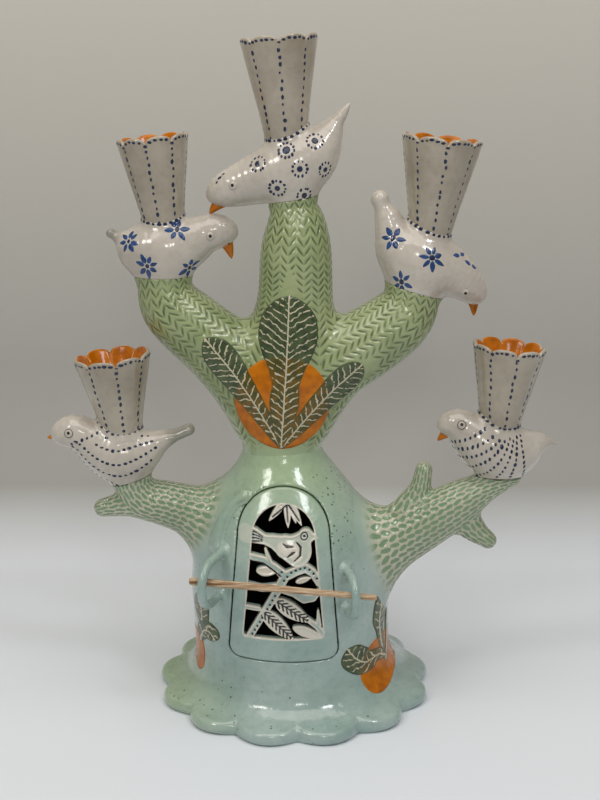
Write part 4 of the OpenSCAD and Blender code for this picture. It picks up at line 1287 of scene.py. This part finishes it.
def spray(name, field, leaves, discs, start=-130.0, olive=None):
    """Orange discs under green leaves; a leaf is olive where an orange disc lies under it."""
    parts = []
    for x, z, wide, high in discs:
        u = np.linspace(-1, 1, 34)
        a, b = np.meshgrid(u, u, indexing="ij")
        flat = np.stack([x + wide * a * np.sqrt(1 - b ** 2 / 2), z + high * b * np.sqrt(1 - a ** 2 / 2)], -1)
        p, n = settle(field, cast(field, *flat.reshape(-1, 2).T, start))
        parts.append(thin_skin(p, n, len(u), len(u), 0.35))
    points, faces = gather(parts)
    keep(make_mesh(name + "_fruit", points, faces, ORANGE), "tree", "orange_glaze")
    made = [painted_leaf(field, rib, widths, start, 0.5 + 0.1 * k) for k, (rib, widths) in enumerate(leaves)]
    points, faces = gather([m[:2] for m in made])
    off, vein, edge = (np.concatenate([m[2][k] for m in made]) for k in range(3))
    over = np.zeros(len(points))
    for x, z, wide, high in discs:
        inside = 1 - np.hypot((points[:, 0] - x) / wide, (points[:, 2] - z) / high)
        over = np.maximum(over, np.clip(inside * 20, 0, 1))
    values = {"rib": off, "vein": vein, "edge": edge, "over": over}
    keep(make_mesh(name + "_leaves", points, faces, LEAF, values), "tree", "green_glaze")


def smooth_crown(x, y, z):
    """Crown and bell together, on which the large spray is painted."""
    return join(crown_field(x, y, z), trunk_field(x, y, z), 4) - 0.35


spray("crown_spray", smooth_crown, [
    ([(-9, 191), (-23, 216), (-41, 243), (-61, 268)],
     [(0, 0.8, 0.8), (0.15, 4.5, 5), (0.35, 7.5, 7), (0.6, 10.5, 9.5), (0.78, 11.5, 11), (0.9, 9.5, 9.5),
      (0.97, 5, 5), (1, 0.3, 0.3)]),
    ([(-9, 191), (8, 212), (26, 231), (47, 250)],
     [(0, 0.8, 0.8), (0.15, 5, 4.5), (0.35, 7, 7), (0.6, 9, 9.5), (0.78, 10, 11), (0.9, 8.5, 9), (0.97, 5, 5),
      (1, 0.3, 0.3)]),
    ([(-9, 191), (-6.5, 228), (-4.5, 262), (-3, 298)],
     [(0, 0.8, 0.8), (0.12, 6.5, 6.5), (0.3, 10.5, 10.5), (0.42, 9.5, 10), (0.52, 12.5, 13), (0.7, 20, 20),
      (0.85, 18.5, 19), (0.94, 12, 12.5), (0.985, 5.5, 5.5), (1, 0.5, 0.5)])],
    [(-8, 223.5, 33, 33)])
spray("foot_spray_right", tree_body, [
    ([(66, 30), (62, 48), (61, 66), (65, 90)],
     [(0, 0.8, 0.8), (0.3, 2.2, 2.2), (0.45, 2.8, 2.8), (0.6, 5.5, 4.8), (0.82, 5.5, 5), (0.95, 3, 3),
      (1, 0.3, 0.3)]),
    ([(66, 30), (67.5, 46), (68, 60), (69, 74)],
     [(0, 0.6, 0.6), (0.4, 1.8, 1.8), (0.75, 2, 2), (1, 0.3, 0.3)]),
    ([(66, 33), (60, 39), (50, 39.5), (43, 45), (37, 54)],
     [(0, 0.8, 0.8), (0.25, 6, 5), (0.5, 8.5, 9), (0.78, 9.5, 9), (0.92, 6.5, 6.5), (1, 0.4, 0.4)])],
    [(62.5, 34.5, 16, 17.5)])
spray("foot_spray_left", tree_body, [
    ([(-67, 47), (-65, 58), (-66, 74), (-65, 86)],
     [(0, 0.6, 0.6), (0.3, 1.5, 2), (0.55, 5.5, 5.5), (0.8, 6, 6), (0.94, 4, 4), (1, 0.4, 0.4)]),
    ([(-67, 47), (-65, 56), (-60, 60), (-55, 55)],
     [(0, 0.6, 0.6), (0.35, 4.5, 4.5), (0.7, 7.5, 7.5), (0.92, 5, 5), (1, 0.5, 0.5)])],
    [(-70, 38, 6, 15)])

# ---- Painting on the birds and cups ----------------------------------------------------------------------


def petal(centre, normal, turn, near, length, half, field):
    """One brush stroke of a flower: a drop shape that lies out from the flower's centre."""
    first, second = across(normal[None])
    u = math.cos(turn) * first[0] + math.sin(turn) * second[0]
    v = math.cos(turn) * second[0] - math.sin(turn) * first[0]
    s, t = np.linspace(0, 1, 9), np.linspace(-1, 1, 5)
    wide = half * np.sin(math.pi * (0.04 + 0.92 * s ** 0.8)) ** 0.8
    flat = centre + (near + length * s)[:, None, None] * u + (wide[:, None] * t[None])[..., None] * v
    p, n = settle(field, flat.reshape(-1, 3))
    return thin_skin(p, n, len(s), len(t), 0.16, 0.5)


def motif_places(name, places, way):
    """Places [x, z] on the front of a bird, or on its back, with their normals."""
    flat = np.array(places, dtype=float)
    depth = BIRDS[name][1]

    def field(x, y, z):
        return bird_shape(name, x, y, z)
    return *settle(field, cast(field, flat[:, 0], flat[:, 1], depth - way * 45, depth)), field


def row_on_body(name, shares, turns, spacing):
    """Dots along a line on a body: shares along its path and turns round it, evened to a spacing."""
    body = PATHS[name][0]
    length = np.concatenate([[0], np.cumsum(np.hypot(*np.diff(body[:, [0, 2]], axis=0).T))])
    at = np.array(shares) * length[-1]
    c = np.stack([np.interp(at, length, body[:, k]) for k in range(5)], 1)
    ahead, back = (np.stack([np.interp(at + d, length, body[:, k]) for k in (0, 2)], 1) for d in (1, -1))
    along = ahead - back
    along /= np.maximum(np.linalg.norm(along, axis=1, keepdims=True), 1e-6)
    up = np.stack([-along[:, 1], np.zeros(len(at)), along[:, 0]], 1)
    up *= np.where(up[:, 2:] < 0, -1, 1)
    deep = np.array([[0, -1.0, 0]])
    start = c[:, :3] + np.cos(turns)[:, None] * up * c[:, 3:4] + np.sin(turns)[:, None] * deep * c[:, 4:5]

    def field(x, y, z):
        return bird_shape(name, x, y, z)
    p, n = settle(field, start)
    gone = np.concatenate([[0], np.cumsum(np.linalg.norm(np.diff(p, axis=0), axis=1))])
    count = max(int(gone[-1] / spacing), 2)
    want = (np.arange(count) + 0.5) * gone[-1] / count + rng.normal(0, 0.15, count)
    p = np.stack([np.interp(want, gone, p[:, k]) for k in range(3)], 1)
    p, n = settle(field, p, 2)
    clear = (cup_cone(name, *p.T) > 2.2) & (mount_field(name, *p.T) > 2.0)
    return p[clear], n[clear]


def bird_painting(name):
    """The dots and strokes of one bird, on both of its sides."""
    kind = BIRDS[name][8]
    parts, blues = [], []
    if kind == "circles":
        for way in (1.0, -1.0):
            spots = [(-24, 385), (-5, 394), (4, 382), (-11, 369), (7, 364), (14, 400), (21, 381)]
            p, n, field = motif_places(name, spots, way)
            first, second = across(n)
            for k in range(len(spots)):
                count, size = 11 + k % 2, 5.2 + 0.5 * math.sin(3.0 * k)
                turn = (np.arange(count) + rng.normal(0, 0.1, count)) * 2 * math.pi / count
                ring = p[k] + size * (np.cos(turn)[:, None] * first[k] + np.sin(turn)[:, None] * second[k])
                ring, out = settle(field, ring)
                parts.append(dots(ring, out, brushed(count, 0.75, 0.95)))
            parts.append(dots(p, n, brushed(len(p), 1.6, 1.8)))
            brow, out, _ = motif_places(name, [(-52, 372), (-50, 375), (-47.5, 377.5)], way)
            parts.append(dots(brow, out, brushed(3, 0.8, 1.2), hint=(0.8, 0, 0.6)))
    elif kind == "flowers":
        spots = {"upper_left": [(-79, 341), (-99, 317), (-71, 315), (-112, 333)],
                 "upper_right": [(67, 335), (93, 323), (73, 306)]}[name]
        for way in (1.0, -1.0):
            p, n, field = motif_places(name, spots, way)
            for k in range(len(spots)):
                count = 6 + k % 2
                for turn in (np.arange(count) + 0.3 * k) * 2 * math.pi / count + rng.normal(0, 0.07, count):
                    length, half = rng.normal(6.6, 0.7), rng.normal(1.75, 0.2)
                    blues.append(petal(p[k], n[k], turn, 2.2, length, half, field))
            parts.append(dots(p, n, brushed(len(p), 1.4, 1.5)))
            if name == "upper_right":
                p, n, field = motif_places(name, [(113, 323), (121, 316)], way)
                for k, turns in enumerate(([0.3, 3.0], [-0.4, 2.4])):
                    for turn in turns:
                        blues.append(petal(p[k], n[k], turn, 0.6, 5.5, 1.6, field))
    elif kind == "rings":
        for share, bow in ((0.27, 0.09), (0.37, 0.12), (0.46, 0.12), (0.54, 0.1), (0.62, 0.08), (0.69, 0.06),
                           (0.76, 0.04), (0.83, 0.03)):
            turn = np.linspace(0.1, 2 * math.pi - 0.1, 120)
            p, n = row_on_body(name, share + bow * np.cos(turn), turn, 3.9)
            parts.append(dots(p, n, brushed(len(p), 0.8, 1.2)))
    else:
        for side in (1, -1):
            for turn, first, last in ((0.75, 0.38, 0.93), (1.2, 0.34, 0.95), (1.7, 0.16, 0.95),
                                      (2.15, 0.13, 0.86), (2.6, 0.12, 0.66)):
                share = np.linspace(first, last, 80)
                p, n = row_on_body(name, share, side * (turn + 0.12 * np.sin(share * 6)), 3.9)
                parts.append(dots(p, n, brushed(len(p), 1.15, 0.8)))
            turn = side * np.linspace(0.35, 2.2, 60)
            p, n = row_on_body(name, 0.34 - 0.2 * (np.abs(turn) / 2.2) ** 2, turn, 3.9)
            parts.append(dots(p, n, brushed(len(p), 0.8, 1.15)))
    return parts, blues


def foot_ring(name):
    """Dots round the foot of a cup, where it sits on the bird's back."""
    count = 22
    turn = (np.arange(count) + rng.normal(0, 0.07, count)) * 2 * math.pi / count
    up = np.full(count, 4.0)
    height = BIRDS[name][3][3]
    for _ in range(12):
        p, n = cup_place(name, turn, up / height)
        up = np.clip(up - (bird_field(name, *p.T) - 2.6) * 0.8, 1.0, 24)
    p, _ = cup_place(name, turn, up / height)

    def field(x, y, z):
        return bird_shape(name, x, y, z)
    p, n = settle(field, p, 3)
    return [dots(p, n, brushed(count, 1.2, 0.9))]


for bird in BIRDS:
    marks, strokes = bird_painting(bird)
    points, faces = gather(marks + cup_dots(bird) + foot_ring(bird))
    keep(make_mesh(bird + "_dots", points, faces, NAVY), "tree", "navy_glaze")
    if strokes:
        points, faces = gather(strokes)
        keep(make_mesh(bird + "_petals", points, faces, BLUE), "tree", "navy_glaze")

# ---- Camera, lights and stage ----------------------------------------------------------------------


def make_stage():
    """A pale sweep: a flat floor, a bend and an upright wall, as one curved sheet, with painted shade:
    darker grey at the bend and low on the wall, paler towards the wall's top. Its back is clear, so that
    the object can be looked at from behind the wall."""
    profile = [(-1600, 0), (-500, 0), (0, 0), (200, 0)]
    profile += [(200 + 160 * math.sin(a), 160 - 160 * math.cos(a)) for a in np.linspace(0.1, math.pi / 2, 16)]
    profile += [(360, 600), (360, 1600)]
    profile = np.array(profile)
    wide = np.linspace(-1800, 1800, 7)
    points = np.array([(x, y, z) for y, z in profile for x in wide])
    material, tree, shader = start_material("pale_paper_sweep")
    place = add(tree, "ShaderNodeTexCoord").outputs["Object"]
    part = add(tree, "ShaderNodeSeparateXYZ", {"Vector": place})
    # painted shade: pale floor, darker grey at the bend and low on the wall, paler again towards the wall's
    # top
    colour = blend_colours(tree, ramp(tree, part.outputs["Z"], 0.002, 0.05), srgb("e3e8ef"), srgb("a3a29d"))
    colour = blend_colours(tree, ramp(tree, part.outputs["Z"], 0.05, 0.7), colour, srgb("cfcac1"))
    tree.links.new(colour, shader.inputs["Base Color"])
    shader.inputs["Roughness"].default_value = 0.6
    back = add(tree, "ShaderNodeNewGeometry").outputs["Backfacing"]
    open_back = add(tree, "ShaderNodeMixShader", {0: back, 1: shader.outputs[0],
                                                  2: add(tree, "ShaderNodeBsdfTransparent").outputs[0]})
    tree.links.new(open_back.outputs[0], tree.nodes["Material Output"].inputs["Surface"])
    sweep = make_mesh("paper_sweep", points, grid_faces(len(profile), len(wide), closed=False), material)


def make_light(name, kind, place, aim, power, size, colour):
    """A soft box that faces a point; places are in metres."""
    light = bpy.data.lights.new(name, kind)
    light.energy = power
    light.color = srgb(colour)[:3]
    light.shape = "RECTANGLE"
    light.size, light.size_y = size
    lamp = bpy.data.objects.new(name, light)
    lamp.location = place
    direction = np.array(aim) - np.array(place)
    lamp.rotation_euler = (math.atan2(math.hypot(*direction[:2]), -direction[2]), 0,
                           math.atan2(-direction[0], direction[1]))
    bpy.context.scene.collection.objects.link(lamp)


def make_camera():
    """The camera, in front of the tree and a little below the top cup's rim."""
    camera = bpy.data.cameras.new("camera")
    camera.sensor_fit = "VERTICAL"
    camera.sensor_height = 24.0
    camera.lens = 39.0
    lens = bpy.data.objects.new("camera", camera)
    lens.location = (0.0041, -0.892, 0.4524)
    lens.rotation_euler = (math.radians(90 - 14.7), 0, 0)
    bpy.context.scene.collection.objects.link(lens)
    bpy.context.scene.camera = lens


make_stage()
make_light("soft_overhead", "AREA", (0.0, -0.3, 1.5), (0, 0, 0.2), 10, (1.4, 1.0), "fffaf2")
make_light("window_left", "AREA", (-0.75, -0.75, 1.15), (0, 0, 0.25), 3.2, (0.3, 0.3), "fffdf8")
make_light("lamp_right", "AREA", (0.6, -0.7, 1.2), (0, 0, 0.25), 2.4, (0.22, 0.22), "f7f9ff")
make_light("lamp_front", "AREA", (0.1, -1.3, 0.9), (0, 0, 0.25), 1.6, (0.2, 0.2), "fffdf8")
world = bpy.data.worlds.new("room")
bpy.context.scene.world = world
world.use_nodes = True
world.node_tree.nodes["Background"].inputs["Color"].default_value = srgb("d9d7d2")
world.node_tree.nodes["Background"].inputs["Strength"].default_value = 0.42
bpy.context.scene.view_settings.view_transform = "Standard"
make_camera()

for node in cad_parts.values():
    if not node.data.materials:
        node.data.materials.append(CREAM)
